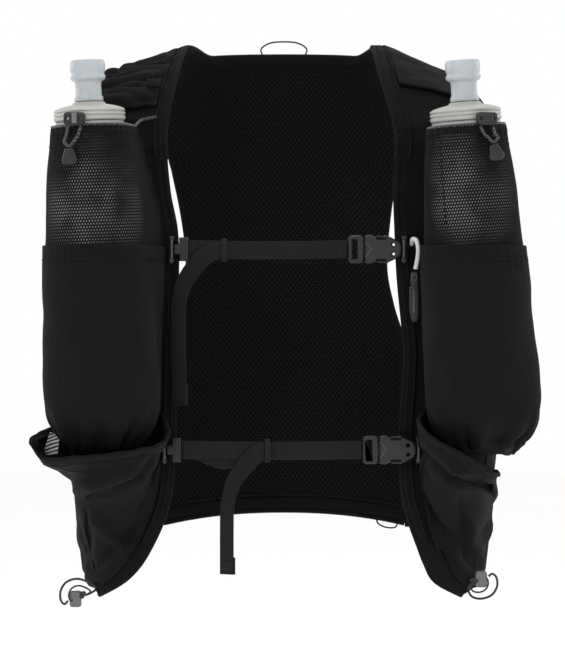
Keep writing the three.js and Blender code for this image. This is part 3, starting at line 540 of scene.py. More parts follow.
def webbingFinish(name, dark, light):
    # narrow woven tape: fine cross ribs in two columns
    finish = Finish(name, dark, 0.72, sheenOf(0.02, 0.4, 0.12))
    u, v = finish.weave()
    ribs = v.wave(0.0016)
    columns = u.wave(0.0019)
    height = ribs * 0.7 + columns * ribs * 0.3
    finish.set(colour=finish.blend(height * 0.8 + finish.cloud(60) * 0.2, dark, light))
    finish.bump(height, 0.0005)
    return finish.material


def plasticFinish(name, dark, light, roughness, fixed=None, grain=0.00006):
    finish = Finish(name, dark, roughness, {"Specular IOR Level": 0.5, **(fixed or {})})
    tone = finish.cloud(45, 4.0)
    finish.set(colour=finish.blend(tone, dark, light))
    finish.set(roughness=tone * 0.16 + (roughness - 0.08))
    finish.bump(finish.cloud(900, 2.0), grain)
    return finish.material


def braidFinish(name, dark, light, share, pitch=0.0016):
    # round braid with single light threads among dark ones
    finish = Finish(name, dark, 0.7, {"Sheen Weight": 0.2, "Specular IOR Level": 0.3})
    u, v = finish.weave()
    left = (u / pitch + v / pitch).wave(1.0)
    right = (u / pitch - v / pitch).wave(1.0)
    strands = left.maths("MAXIMUM", right)
    rising = (u / (pitch * 1.1) + v / (pitch * 0.9)).wave(1.0)
    falling = (v / (pitch * 1.7) - u / (pitch * 1.4)).wave(1.0)
    pale = (rising * falling).step(1 - share, 1.05 - share * 0.6)
    finish.set(colour=finish.blend(pale, finish.blend(strands, dark, [c * 1.6 for c in dark]), light))
    finish.bump(strands, 0.0003)
    return finish.material


def stripeFinish(name, dark, light):
    # slanting stripes of uneven width
    finish = Finish(name, light, 0.75, {"Sheen Weight": 0.2})
    u, v = finish.weave()
    bands = (v + u * 0.35 + finish.cloud(160, 1.0) * 0.0016).wave(0.0031).step(0.4, 0.55)
    finish.set(colour=finish.blend(bands, dark, light))
    finish.bump(u.wave(0.0006) * v.wave(0.0006), 0.0002)
    return finish.material


black = (0.0032, 0.0032, 0.0035)
shell = clothFinish("stretchShell", black, (0.0082, 0.0082, 0.0088), 0.0009)
pocketCloth = clothFinish("checkedPocket", black, (0.0080, 0.0080, 0.0086), 0.0008, ribs=0.0031)
bindingCloth = clothFinish("edgeBinding", (0.0034, 0.0034, 0.0037), (0.0085, 0.0085, 0.0091), 0.0011)
tapeCloth = clothFinish("plainTape", (0.0038, 0.0038, 0.0041), (0.0082, 0.0082, 0.0088), 0.0007)
thread = clothFinish("sewingThread", (0.010, 0.010, 0.011), (0.026, 0.026, 0.027), 0.0004)
spacer = spacerFinish("spacerMesh", (0.0046, 0.0046, 0.0050), (0.0115, 0.0115, 0.0123))
strapWebbing = webbingFinish("strapWebbing", (0.0045, 0.0045, 0.0044), (0.0165, 0.0165, 0.0156))
dull = {"Specular IOR Level": 0.3}
darkPlastic = plasticFinish("darkPlastic", (0.0075, 0.0077, 0.0085), (0.013, 0.0132, 0.0145), 0.36, dull)
# paler than the dark plastic: partly the rail cords' own grey, partly painted highlight on rods, knots and ridges
railGreyAndHighlight = plasticFinish("railGreyAndHighlight", (0.02, 0.02, 0.021), (0.045, 0.045, 0.046), 0.3)
greyPlastic = plasticFinish("greyPlastic", (0.07, 0.07, 0.07), (0.12, 0.12, 0.116), 0.45)
capPlastic = plasticFinish("capPlastic", (0.30, 0.303, 0.28), (0.36, 0.361, 0.336), 0.42)
milky = {"Transmission Weight": 0.3, "Subsurface Weight": 0.2, "Subsurface Radius": (0.006, 0.006, 0.006)}
valveSilicone = plasticFinish("valveSilicone", (0.42, 0.455, 0.48), (0.52, 0.55, 0.57), 0.34, milky, 0.00003)
clear = {"Transmission Weight": 0.2}
flaskFilm = plasticFinish("flaskFilm", (0.36, 0.385, 0.405), (0.43, 0.455, 0.47), 0.3, clear)
speckledBraid = braidFinish("speckledBraid", (0.005, 0.005, 0.0054), (0.36, 0.36, 0.345), 0.34)
blackBraid = braidFinish("blackBraid", (0.006, 0.006, 0.0065), (0.03, 0.03, 0.03), 0.2, 0.0009)
whiteBraid = braidFinish("whiteBraid", (0.5, 0.5, 0.49), (0.7, 0.7, 0.69), 0.5, 0.0013)
stripes = stripeFinish("wovenStripes", (0.008, 0.008, 0.0085), (0.62, 0.62, 0.6))
print("finishes made")

# Worn form: a squared oval that narrows to the hem, with shoulders arching over above the chest line

frontLength = 0.4
backLength = 0.342
chestHalfWidth = 0.172
hemHalfWidth = 0.149
torsoHalfDepth = 0.08
torsoPower = 3.5
shoulderTop = 0.018
shoulderRise = 0.088
shoulderSlope = 0.45
neckHalfWidth = 0.075
frontGapHalf = 0.085
shoulderHalfSpan = 0.132
backHalfWidth = 0.095
backHemRise = 0.01
sideHemShare = 0.985
panelWall = 0.0025
backWall = 0.003
pocketWall = 0.0012
layerGap = 0.0006
seamGap = 0.0004
sideSeamAngle = 24
chestLine = shoulderTop - shoulderRise
panelFace = -(torsoHalfDepth + panelWall)

frontEdges = {
    "down": [
        -0.045, 0.03, 0.085, 0.14, 0.235, 0.31, 0.4, 0.5, 0.55,
        0.685, 0.76, 0.815, 0.857, 0.9, 0.94, 0.972, 1.0,
    ],
    "left": [
        0.88, 0.97, 1.02, 1.04, 1.005, 0.94, 0.93, 0.935, 0.94,
        0.955, 0.97, 1.0, 1.06, 1.155, 1.27, 1.42, 1.64,
    ],
    "right": [
        0.79, 0.87, 0.95, 0.99, 0.97, 0.98, 1.0, 1.045, 1.06,
        1.02, 1.02, 1.05, 1.1, 1.175, 1.25, 1.34, 1.575,
    ],
}
backEdges = {
    "down": [0.2, 0.32, 0.44, 0.53, 0.6, 0.64, 1.03],
    "wide": [0.95, 0.87, 0.835, 0.9, 0.985, 1.0, 1.0],
    "sway": 0.027,
}
strapEdges = {
    "lift": [0, 20, 56, 90],
    "left": [0.95, 0.965, 0.9, shoulderHalfSpan / chestHalfWidth],
    "right": [0.95, 0.955, 0.865, shoulderHalfSpan / chestHalfWidth],
}


def torsoHalfWidth(z):
    return mix(chestHalfWidth, hemHalfWidth, clampShare((-z / frontLength - 0.5) / 0.5))


def shoulderRiseAt(x):
    return shoulderRise - shoulderSlope * max(0, abs(x) - neckHalfWidth)


def torsoDepthAt(x, z):
    share = min(abs(x) / torsoHalfWidth(z), 0.995)
    return torsoHalfDepth * (1 - share**torsoPower) ** (1 / torsoPower)


def wornPoint(side, turn, z, lift=0.0):
    # turn is 0 at the side, 90 at the front and -90 at the back, in degrees
    angle = math.radians(turn)
    x = (torsoHalfWidth(z) + lift) * max(math.cos(angle), 0) ** (2 / torsoPower)
    y = -math.copysign(1, angle) * (torsoHalfDepth + lift) * abs(math.sin(angle)) ** (2 / torsoPower)
    if z > chestLine:
        y *= math.sqrt(max(0, 1 - clampShare((z - chestLine) / shoulderRiseAt(x)) ** 2))
    return Vector((side * x, y, z))


def turnAt(x, z, lift=0.0):
    share = min(abs(x) / (torsoHalfWidth(z) + lift), 1)
    return math.degrees(math.acos(share ** (torsoPower / 2)))


def frontEdgeAt(hand, z):
    return frontGapHalf * readTable(frontEdges, "down", hand, -z / frontLength)


def surfaceGrid(rows, columns, pointAt):
    return [[pointAt(i / rows, j / columns) for j in range(columns + 1)] for i in range(rows + 1)]


def crumple(point, scale, size):
    # small uneven hollows and rises in worn cloth
    place = point * scale
    return size * (noise.noise(place) + 0.5 * noise.noise(place * 2.3 + Vector((7, 3, 1))))


def ripple(p, phase, wander, scale):
    # a wave across cloth whose crests wander
    return math.sin(phase + wander * noise.noise(p * scale))


# Back panel with its neck tape and hem tape

back = {
    "rows": 120, "columns": 84, "arch": 0.4,
    "tape": 0.011, "hemTape": 0.0085, "tapeWall": 0.0009, "edge": 0.0052, "binding": 0.0045,
}


def backPoint(up, across):
    reach = 2 * across - 1
    spread = math.copysign(abs(reach) ** 0.9, reach)
    if up <= 1 - back["arch"]:
        rise = up / (1 - back["arch"])
        hem = -backLength - backHemRise * abs(spread) ** 2.2
        z = mix(hem, chestLine, rise)
        x = spread * backHalfWidth * readTable(backEdges, "down", "wide", -z / backLength)
        x *= 1 + backEdges["sway"] * spread * bell(z + 0.15, 0.07)
        return Vector((x, torsoDepthAt(x, z), z))
    arch = (up - 1 + back["arch"]) / back["arch"]
    half = mix(backHalfWidth * backEdges["wide"][0], shoulderHalfSpan, ease(arch) ** 0.8)
    x = spread * half
    inNeck = clampShare(1 - (x / neckHalfWidth) ** 2)
    power = 2 + 3.5 * inNeck
    end = mix(90, 64, ease(inNeck * 2.2))
    angle = math.radians(min(end * arch, 89.9))
    y = torsoDepthAt(x, chestLine) * math.cos(angle) ** (2 / power)
    z = chestLine + shoulderRiseAt(x) * math.sin(angle) ** (2 / power)
    return Vector((x, y, z))


def backRelief(u, v, p):
    inside = ease(min(u, 1 - u) * 6) * ease(v * 8) * ease((1 - v) * 8)
    return inside * crumple(p, 14, 0.0022)


backCloth = Cloth(surfaceGrid(back["rows"], back["columns"], backPoint), backWall, backRelief)
addCloth("backPanelCloth", backCloth, spacer, ["back_panel"])


def innerTape(name, cloth, stops, width, wall, count=60):
    # a tape on the inner face of a panel
    return addTape(name, cloth, stops, width, wall, tapeCloth, count, -cloth.wall - wall)


def edgeBinding(name, cloth, stops, width, count=90, proud=0.0009, finish=bindingCloth):
    # a tape folded round the edge of a sheet
    return addTape(name, cloth, stops, width, cloth.wall + 2 * proud, finish, count, -cloth.wall - proud)


innerTape("neckTape", backCloth, between((0.21, 0.972), (0.79, 0.972), 12), back["tape"], back["tapeWall"])
innerTape("backHemTape", backCloth, between((0, 0.014), (1, 0.014), 12), back["hemTape"], back["tapeWall"])
edgeBinding("backHemBinding", backCloth, between((0, 0.001), (1, 0.001), 12), back["binding"])
edgeBinding("neckBinding", backCloth, between((0.17, 0.998), (0.83, 0.998), 16), back["binding"])
for hand, edge in (("left", 0.014), ("right", 0.986)):
    edgeBinding(f"{hand}BackArmholeBinding", backCloth, between((edge, 0.2), (edge, 0.995), 14), back["edge"])
print("back panel made")

# Shoulders and front panels

flaskStands = {
    "left": {"side": -1, "neck": 0.145, "lean": 0.042},
    "right": {"side": 1, "neck": 0.136, "lean": -0.063},
}
shoulder = {"rows": 70, "columns": 44, "binding": 0.0042}
front = {"rows": 120, "columns": 34, "binding": 0.0045}
sidePanel = {"rows": 60, "columns": 54}
seam = {"width": 0.0062, "wall": 0.0008}
ruchings = {
    "left": [
        (0.25, 0.62, 0.0030, 0.09), (0.16, 0.86, 0.0034, 0.08), (0.42, 0.4, 0.0024, 0.1), (0.55, 0.72, 0.0026, 0.09),
    ],
    "right": [(0.5, 0.45, 0.0014, 0.14)],
}


def shoulderPoint(hand, side, fall, across):
    lift = 90 * (1 - fall)
    arch = math.sin(math.radians(lift))
    inner = frontEdgeAt(hand, chestLine + shoulderRise * arch)
    outer = chestHalfWidth * readTable(strapEdges, "lift", hand, lift)
    x = mix(inner, outer, across)
    y = -torsoDepthAt(x, chestLine) * math.cos(math.radians(lift))
    return Vector((side * x, y, chestLine + shoulderRiseAt(x) * arch))


def shoulderRelief(hand, u, v, p):
    height = crumple(p, 30, 0.0011 if hand == "left" else 0.0005)
    for middleV, middleU, high, wide in ruchings[hand]:
        height += high * bell(math.hypot((v - middleV) * 1.3, u - middleU), wide)
    fold = ripple(p, v * 34 + u * 5, 2, 40) * (0.0011 if hand == "left" else 0.0004)
    return (height + fold) * fadeIn(u, v, 8, 8, 10, 7)


def frontPoint(hand, side, fall, across):
    top = chestLine - seamGap
    inner = mix(top, -frontLength, fall)
    z = mix(inner, mix(top, -sideHemShare * frontLength, fall), across)
    start = turnAt(frontEdgeAt(hand, inner), inner)
    return wornPoint(side, mix(start, sideSeamAngle, across), z)


def frontRelief(u, v, p):
    return crumple(p, 22, 0.0013) * fadeIn(u, v, 6, 6, 14, 10)


def sidePoint(side, fall, across):
    armhole = mix(-0.47 * frontLength, -0.515 * frontLength, math.sin(math.pi * across)) - 0.012 * across
    hem = mix(-sideHemShare * frontLength, -backLength - backHemRise - 0.001, ease(across))
    z = mix(armhole, hem, fall)
    backTurn = -turnAt(backHalfWidth + seamGap * 1.5, z)
    return wornPoint(side, mix(sideSeamAngle - 0.3, backTurn, across), z)


def sideRelief(u, v, p):
    return crumple(p, 20, 0.0012) * fadeIn(u, v, 8, 8, 8, 8)


edgeRows = [
    # name, sheet, first and last place, steps, width and count of points
    ("ShoulderBinding", "shoulder", (0.018, 0), (0.018, 1), 16, shoulder["binding"], 90),
    ("FrontBinding", "front", (0.018, 0), (0.018, 1), 16, front["binding"], 140),
    ("ShoulderOuterBinding", "shoulder", (0.978, 0), (0.978, 1), 16, shoulder["binding"], 90),
    ("FrontHemBinding", "front", (0, 0.998), (1, 0.998), 10, 0.004, 60),
    ("SideHemBinding", "side", (0, 0.998), (1, 0.998), 10, 0.004, 60),
    ("SideArmholeBinding", "side", (0, 0.012), (1, 0.012), 10, 0.0045, 60),
    ("FrontArmholeBinding", "front", (0.985, 0), (0.985, 0.42), 10, 0.0045, 60),
]
seamRows = [
    ("ChestSeam", "front", (0, 0), (1, 0), 10),
    ("SideSeam", "front", (1, 0.38), (1, 0.995), 12),
    ("BackSeam", "side", (1, 0.01), (1, 0.99), 10),
    ("ShoulderSeam", "shoulder", (0, 0), (1, 0), 10),
]
cloths = {}
for hand, stand in flaskStands.items():
    side = stand["side"]
    panels = [
        ("shoulder", shoulder, shell, "backPanelCloth", f"{hand}_shoulder_strap",
         lambda v, u: shoulderPoint(hand, side, v, u), lambda u, v, p: shoulderRelief(hand, u, v, p)),
        ("front", front, shell, f"{hand}ShoulderCloth", f"{hand}_front_panel",
         lambda v, u: frontPoint(hand, side, v, u), frontRelief),
        ("side", sidePanel, pocketCloth, f"{hand}FrontCloth", f"{hand}_side_panel",
         lambda v, u: sidePoint(side, v, u), sideRelief),
    ]
    for part, size, finish, under, node, pointAt, relief in panels:
        cloths[hand, part] = Cloth(surfaceGrid(size["rows"], size["columns"], pointAt), panelWall, relief)
        addCloth(f"{hand}{part.title()}Cloth", cloths[hand, part], finish, [node])
    for name, part, first, last, steps, width, count in edgeRows:
        edgeBinding(f"{hand}{name}", cloths[hand, part], between(first, last, steps), width, count)
    for name, part, first, last, steps in seamRows:
        cloth, stops = cloths[hand, part], between(first, last, steps)
        addTape(f"{hand}{name}Tape", cloth, stops, seam["width"], seam["wall"], tapeCloth, 70)
        innerTape(f"{hand}{name}InnerTape", cloth, stops, seam["width"], seam["wall"], 70)
flaps = {
    "left": {"inner": 0.13, "outer": 0.985, "top": 0.02, "feet": (0.69, 0.53), "ruche": 0.0021, "waves": 52},
    "right": {"inner": 0.15, "outer": 0.985, "top": 0.02, "feet": (0.55, 0.5), "ruche": 0.0005, "waves": 20},
}
flapWall = 0.0012
gatherScale = 127.377392
for hand, flap in flaps.items():
    under = cloths[hand, "shoulder"]

    def flapPoint(fall, across):
        u, v = mix(flap["inner"], flap["outer"], across), mix(flap["top"], mix(*flap["feet"], across), fall)
        return under.at(u, v, 0.0006 + 0.0026 * ease((fall - 0.6) / 0.4) * ease((1 - across) * 5))[0]

    def flapRelief(u, v, p):
        waves = ripple(p, v * flap["waves"] + u * 7, 3, 45)
        gathers = abs(noise.noise(p * gatherScale)) * 0.6
        height = flap["ruche"] * (waves * 0.6 + gathers + 0.5)
        for middleV, middleU, high, wide in ruchings[hand]:
            height += 0.9 * high * bell(math.hypot((v - middleV) * 1.3, u - middleU), wide)
        return height * fadeIn(u, v, 9, 14, 12, 7)

    cloths[hand, "flap"] = Cloth(surfaceGrid(60, 54, flapPoint), flapWall, flapRelief)
    addCloth(f"{hand}ShoulderFlap", cloths[hand, "flap"], shell)
    edgeBinding(f"{hand}FlapHem", cloths[hand, "flap"], between((0, 0.97), (1, 0.97), 12), 0.0036, 70, 0.0003)
    piping = flap["inner"] - 0.012
    addTape(f"{hand}ShoulderPiping", under, between((piping, 0), (piping, 1), 14), 0.0021, 0.0016, bindingCloth, 90)
patch = [shownSpot(cloths["left", "flap"], 152, y) for y in (73, 77, 81, 86)]
addTape("shoulderPatch", cloths["left", "flap"], patch, 0.0105, 0.0008, tapeCloth, 12, 0.0002)
print("shoulders, front and side panels made")

# Pockets over the flasks

pocketEase = 0.0016
flaskLength = 0.237
flaskHalfWidth = 0.04
flaskHalfDepth = 0.029
neckDrop = 0.0435
mouthDrop = 0.048
overlayDrop = 0.136
overlayLap = 0.012
lipDrop = 0.262
placketWidth = 0.007
flaskCentreY = -(torsoHalfDepth + panelWall + 0.002 + flaskHalfDepth)

flaskSections = {
    "down": [0, 0.07, 0.16, 0.39, 0.65, 0.85, 0.93, 0.975, 1.0],
    "wide": [0.64, 0.7, 0.77, 0.86, 0.95, 1.0, 0.93, 0.74, 0.5],
    "deep": [0.88, 0.92, 0.95, 1.0, 1.0, 0.97, 0.8, 0.48, 0.17],
}
pocketSeams = {
    "fall": [-0.015, 0.154, 0.289, 0.66, 0.897, 0.956, 0.998, 1.04],
    "left": [0.27, 0.16, 0.112, 0.145, 0.15, 0.19, 0.25, 0.37],
    "right": [0.3, 0.284, 0.277, 0.195, 0.245, 0.305, 0.395, 0.53],
}
pocketFoot = {
    "fall": [0.897, 0.971, 1.006, 1.025, 1.045],
    "girth": [1.0, 1.05, 1.22, 1.12, 0.95],
    "draw": [0, 0, 0, 0.3, 0.85],
}
lips = {
    "left": {"along": [0, 0.2, 0.4, 0.6, 0.74, 0.86, 1], "drop": [0, 0.045, 0.065, 0.075, 0.078, 0.05, 0.02]},
    "right": {"along": [0, 0.15, 0.3, 0.5, 0.66, 0.8, 1], "drop": [0, 0.012, 0.036, 0.064, 0.087, 0.107, 0.12]},
}
hemPocketForms = {
    "left": {"wide": 1.27, "deep": 1.2, "offset": 0.05, "seam": 0.0055, "tuck": 0},
    "right": {"wide": 0.72, "deep": 0.98, "offset": -0.52, "seam": 0.0115, "tuck": 1},
}
folds = {
    # lines by share of the chest's half width and share of the fall, then height in metres and width
    "left": [
        (0.55, 0.46, 0.75, 0.7, 0.0032, 0.013),
        (0.56, 0.76, 0.92, 0.81, 0.0045, 0.010),
        (0.86, 0.84, 0.66, 0.94, 0.0032, 0.009),
    ],
    "right": [
        (0.62, 0.3, 0.75, 0.62, 0.0026, 0.013),
        (0.6, 0.74, 0.9, 0.8, 0.0045, 0.010),
        (0.88, 0.83, 0.7, 0.95, 0.0032, 0.009),
    ],
}
creases = {
    # lines by pixels of the photograph, then height in metres (below 0 is a groove) and width
    "left": [
        (158, 452, 141, 474, -0.0055, 0.0034), (141, 474, 110, 491, -0.0055, 0.0034),
        (110, 491, 73, 500, -0.0050, 0.0034), (150, 444, 128, 470, 0.0030, 0.0070),
        (128, 470, 80, 484, 0.0034, 0.0075), (83, 504, 88, 580, -0.0040, 0.0030),
        (95, 523, 126, 551, 0.0032, 0.0042), (88, 512, 100, 560, 0.0022, 0.0050),
        (150, 492, 122, 532, -0.0024, 0.0040),
    ],
    "right": [
        (424, 452, 450, 476, -0.0055, 0.0036), (450, 476, 490, 487, -0.0055, 0.0036),
        (432, 446, 456, 466, 0.0030, 0.0070), (456, 466, 486, 474, 0.0030, 0.0060),
        (484, 486, 470, 540, 0.0034, 0.0060), (462, 496, 468, 560, -0.0030, 0.0046),
        (446, 500, 456, 566, 0.0022, 0.0060),
    ],
}


def foldPlace(x, fall):
    return Vector((x * chestHalfWidth, -fall * frontLength))


def creasePlace(px, py):
    return Vector((abs(px - shown["middle"]), shown["top"] - py)) * shown["pixel"]


def heightNear(lines, placeAt, x, z):
    # height at a place near lines, each with two ends that placeAt reads, its height and its width
    height = 0
    for x0, y0, x1, y1, high, wide in lines:
        start = placeAt(x0, y0)
        along = placeAt(x1, y1) - start
        place = Vector((abs(x), z))
        share = clampShare((place - start).dot(along) / along.length_squared)
        height += high * bell((place - start - along * share).length, wide)
    return height


def flaskFall(z):
    return (-neckDrop - z) / flaskLength


def flaskOval(hand, z, room):
    stand = flaskStands[hand]
    share = clampShare(flaskFall(z))
    return {
        "x": stand["neck"] + (z + neckDrop) * stand["lean"],
        "y": flaskCentreY,
        "wide": flaskHalfWidth * readTable(flaskSections, "down", "wide", share) + room,
        "deep": flaskHalfDepth * readTable(flaskSections, "down", "deep", share) + room,
    }


def pocketPlan(seamIn, seamOut, oval, straightSteps, arcSteps):
    # straight from the inner seam to an oval, round it, and straight to the outer seam
    def tangentTurn(seam, sign):
        u, v = (seam.x - oval["x"]) / oval["wide"], (seam.y - oval["y"]) / oval["deep"]
        return math.atan2(v, u) + sign * math.acos(1 / max(math.hypot(u, v), 1.0001))

    def ovalPoint(turn):
        return Vector((oval["x"] + oval["wide"] * math.cos(turn), oval["y"] + oval["deep"] * math.sin(turn)))

    start, end = tangentTurn(seamIn, 1), tangentTurn(seamOut, -1)
    while end < start:
        end += 2 * math.pi
    first, last = ovalPoint(start), ovalPoint(end)
    points = [seamIn.xy.lerp(first, i / straightSteps) for i in range(straightSteps)]
    points += [ovalPoint(mix(start, end, i / arcSteps)) for i in range(arcSteps + 1)]
    points += [last.lerp(seamOut.xy, (i + 1) / straightSteps) for i in range(straightSteps)]
    return points


def clearOfPanel(point, z, lift):
    width, depth = torsoHalfWidth(z) + lift, torsoHalfDepth + lift
    reach = ((abs(point.x) / width) ** torsoPower + (abs(point.y) / depth) ** torsoPower) ** (1 / torsoPower)
    return point / reach if reach < 1 else point


def pocketSeamAt(hand, z):
    return mix(frontEdgeAt(hand, z), chestHalfWidth, readTable(pocketSeams, "fall", hand, flaskFall(z)))


def meshPocketRow(hand, z, room, straight=8, arc=56):
    stand = flaskStands[hand]
    lift = panelWall + layerGap * (3 if z > chestLine else 1)
    seamX = pocketSeamAt(hand, z) + pocketWall + layerGap * 2
    seamIn = wornPoint(1, turnAt(seamX, z, lift), z, lift)
    seamOut = wornPoint(1, sideSeamAngle + 7, z, lift)
    fade = 1 - ease((-mouthDrop - z) / 0.04)
    return [
        Vector((stand["side"] * p.x, p.y, z - (p.x - stand["neck"]) * stand["lean"] * fade))
        for p in pocketPlan(seamIn, seamOut, flaskOval(hand, z, room), straight, arc)
    ]


bottleFoot = {"pleats": 14, "phase": 2.1, "gather": 0.0016, "from": 0.7, "turn": 50, "ahead": 0.006}


def bottlePocketRow(hand, level, straight=8, arc=72):
    lift = panelWall + layerGap
    bottom = -neckDrop - pocketFoot["fall"][-1] * flaskLength
    z = mix(-overlayDrop, bottom, level)
    over = (pocketWall + layerGap) * (1 - ease((level - 0.16) / 0.2))
    oval = flaskOval(hand, z, pocketEase + over)
    oval["wide"] *= readTable(pocketFoot, "fall", "girth", flaskFall(z))
    oval["y"] = mix(oval["y"], panelFace - bottleFoot["ahead"], readTable(pocketFoot, "fall", "draw", flaskFall(z)))
    seamIn = wornPoint(1, turnAt(pocketSeamAt(hand, z), z, lift), z, lift)
    outTurn = mix(sideSeamAngle + 3, bottleFoot["turn"], ease((level - 0.78) / 0.22))
    seamOut = wornPoint(1, outTurn, z, lift)
    plan = pocketPlan(seamIn, seamOut, oval, straight, arc)
    steps = len(plan) - 1
    row = []
    for i, p in enumerate(plan):
        away = math.sin(math.pi * i / steps)
        pleat = 1 + math.cos(i * bottleFoot["phase"] * bottleFoot["pleats"] / steps)
        gather = bottleFoot["gather"] * ease((level - bottleFoot["from"]) / 0.2) * pleat * away
        outward = Vector((p.x - oval["x"], p.y - flaskCentreY)).normalized()
        rise = heightNear(folds[hand], foldPlace, p.x, z)
        p = clearOfPanel(p + outward * (rise * away + gather), z, lift)
        row.append(Vector((flaskStands[hand]["side"] * p.x, p.y, z)))
    return row


hemPocket = {
    "innerFoot": 0.98, "outerFoot": 0.955, "turns": (-6, 6), "slack": 1.2, "forward": 0.025, "low": 0.02,
    "narrow": 0.5, "shallow": 0.3, "hug": 0.92,
}


def hemPocketRow(hand, level, straight=8, arc=72):
    lift = panelWall + layerGap * 1.2
    form, stand = hemPocketForms[hand], flaskStands[hand]
    innerZ = mix(-lipDrop, -hemPocket["innerFoot"] * frontLength, level)
    outerZ = mix(-lipDrop, -hemPocket["outerFoot"] * frontLength, level)
    innerX = frontEdgeAt(hand, innerZ) + placketWidth + form["seam"]
    inTurn, outTurn = turnAt(innerX, innerZ, lift), mix(*hemPocket["turns"], level)
    seamIn, seamOut = wornPoint(1, inTurn, innerZ, lift), wornPoint(1, outTurn, outerZ, lift)
    slack = (1 - level) ** hemPocket["slack"]
    leaning = (lipDrop - neckDrop + hemPocket["low"]) * stand["lean"]
    oval = {
        "x": stand["neck"] + form["offset"] * flaskHalfWidth - leaning,
        "y": mix(panelFace + hemPocket["forward"], flaskCentreY, slack),
        "wide": flaskHalfWidth * mix(hemPocket["narrow"], form["wide"], slack),
        "deep": flaskHalfDepth * mix(hemPocket["shallow"], form["deep"], slack),
    }
    plan = pocketPlan(seamIn, seamOut, oval, straight, arc)
    steps = len(plan) - 1
    row = []
    for i, p in enumerate(plan):
        along = i / steps
        drop = readTable(lips[hand], "along", "drop", along)
        z = mix(innerZ, outerZ, along) - drop * frontLength * (1 - level)
        flat = wornPoint(1, mix(inTurn, outTurn, along), z, lift)
        tucked = form["tuck"] * ease((along - 0.76) / 0.16)
        hugging = hemPocket["hug"] * max(ease((level - 0.02) / 0.26) * ease((along - 0.5) / 0.2), tucked)
        p = p.lerp(flat.xy, max(ease((level - 0.3) / 0.65), hugging))
        away = math.sin(math.pi * along)
        rise = heightNear(folds[hand], foldPlace, p.x, z)
        p += p.normalized() * (rise * away * ease(level * 3) * (1 - level**3))
        p = clearOfPanel(p, z, lift)
        row.append(Vector((stand["side"] * p.x, p.y, z)))
    return row


def meshRelief(u, v, p):
    # small gathers where the drawcord draws the mouth in
    gather = ripple(p, u * 130, 4, 25) * 0.0007 * bell(v, 0.11)
    return (gather + crumple(p, 28, 0.0005)) * ease(u * 12) * ease((1 - u) * 12) * ease((1 - v) * 6)


pocketRoom = 0.0008
deepestCrease = 0.0045


def bottleRelief(u, v, p):
    # elastic gathers at the top hem and foot, and drag lines down the cloth, clear of the flask
    top = ripple(p, u * 150, 3, 30) * 0.0004 * bell(v, 0.12)
    drag = ripple(p, (u * 1.2 + v * 0.5) * 16, 2.5, 18) * 0.0009 * ease((v - 0.2) * 2)
    foot = ripple(p, u * 46, 4, 25) * 0.0030 * ease((v - 0.72) * 4)
    fade = ease(u * 12) * ease((1 - u) * 12) * (1 - 0.7 * ease((v - 0.93) * 14))
    return max(top + drag + foot + crumple(p, 26, 0.0009), -pocketRoom) * fade


def hemRelief(hand, u, v, p):
    gather = ripple(p, u * 70, 3, 25) * 0.0004 * bell(v, 0.2)
    drape = ripple(p, (u * 0.8 - v) * 15, 3, 16) * 0.0019 * ease(v * 3)
    crease = -abs(ripple(p, (u * 1.1 - v * 0.9) * 8, 2, 12)) ** 0.6 * 0.0016 * ease(v * 2.5)
    folded = heightNear(creases[hand], creasePlace, p.x, p.z) * ease(v * 6)
    edges = ease(u * 12) * ease((1 - u) * 12) * ease((1 - v) * 8)
    rough = crumple(p, 24, 0.0019) * mix(0.25, 1, ease(v * 5))
    return max(gather + drape + crease + rough + folded, -deepestCrease) * edges


pocket = {"meshRows": 46, "bottleRows": 96, "hemRows": 84, "hem": 0.010, "lip": 0.0068}
placket = {"left": 0.5, "right": 0.31, "foot": 0.905, "set": 0.003, "wall": 0.001}
meshAreas = {
    # middle in pixels of the photograph, half width and height in metres, strength
    "left": [(88, 208, 0.036, 0.042, 1.0), (122, 205, 0.030, 0.040, 0.5), (88, 152, 0.020, 0.016, 0.35)],
    "right": [(456, 196, 0.026, 0.042, 1.0), (486, 200, 0.026, 0.036, 0.5), (452, 148, 0.018, 0.016, 0.4)],
}


def rowsOf(rowAt, first, last, count):
    return [rowAt(mix(first, last, i / count)) for i in range(count + 1)]


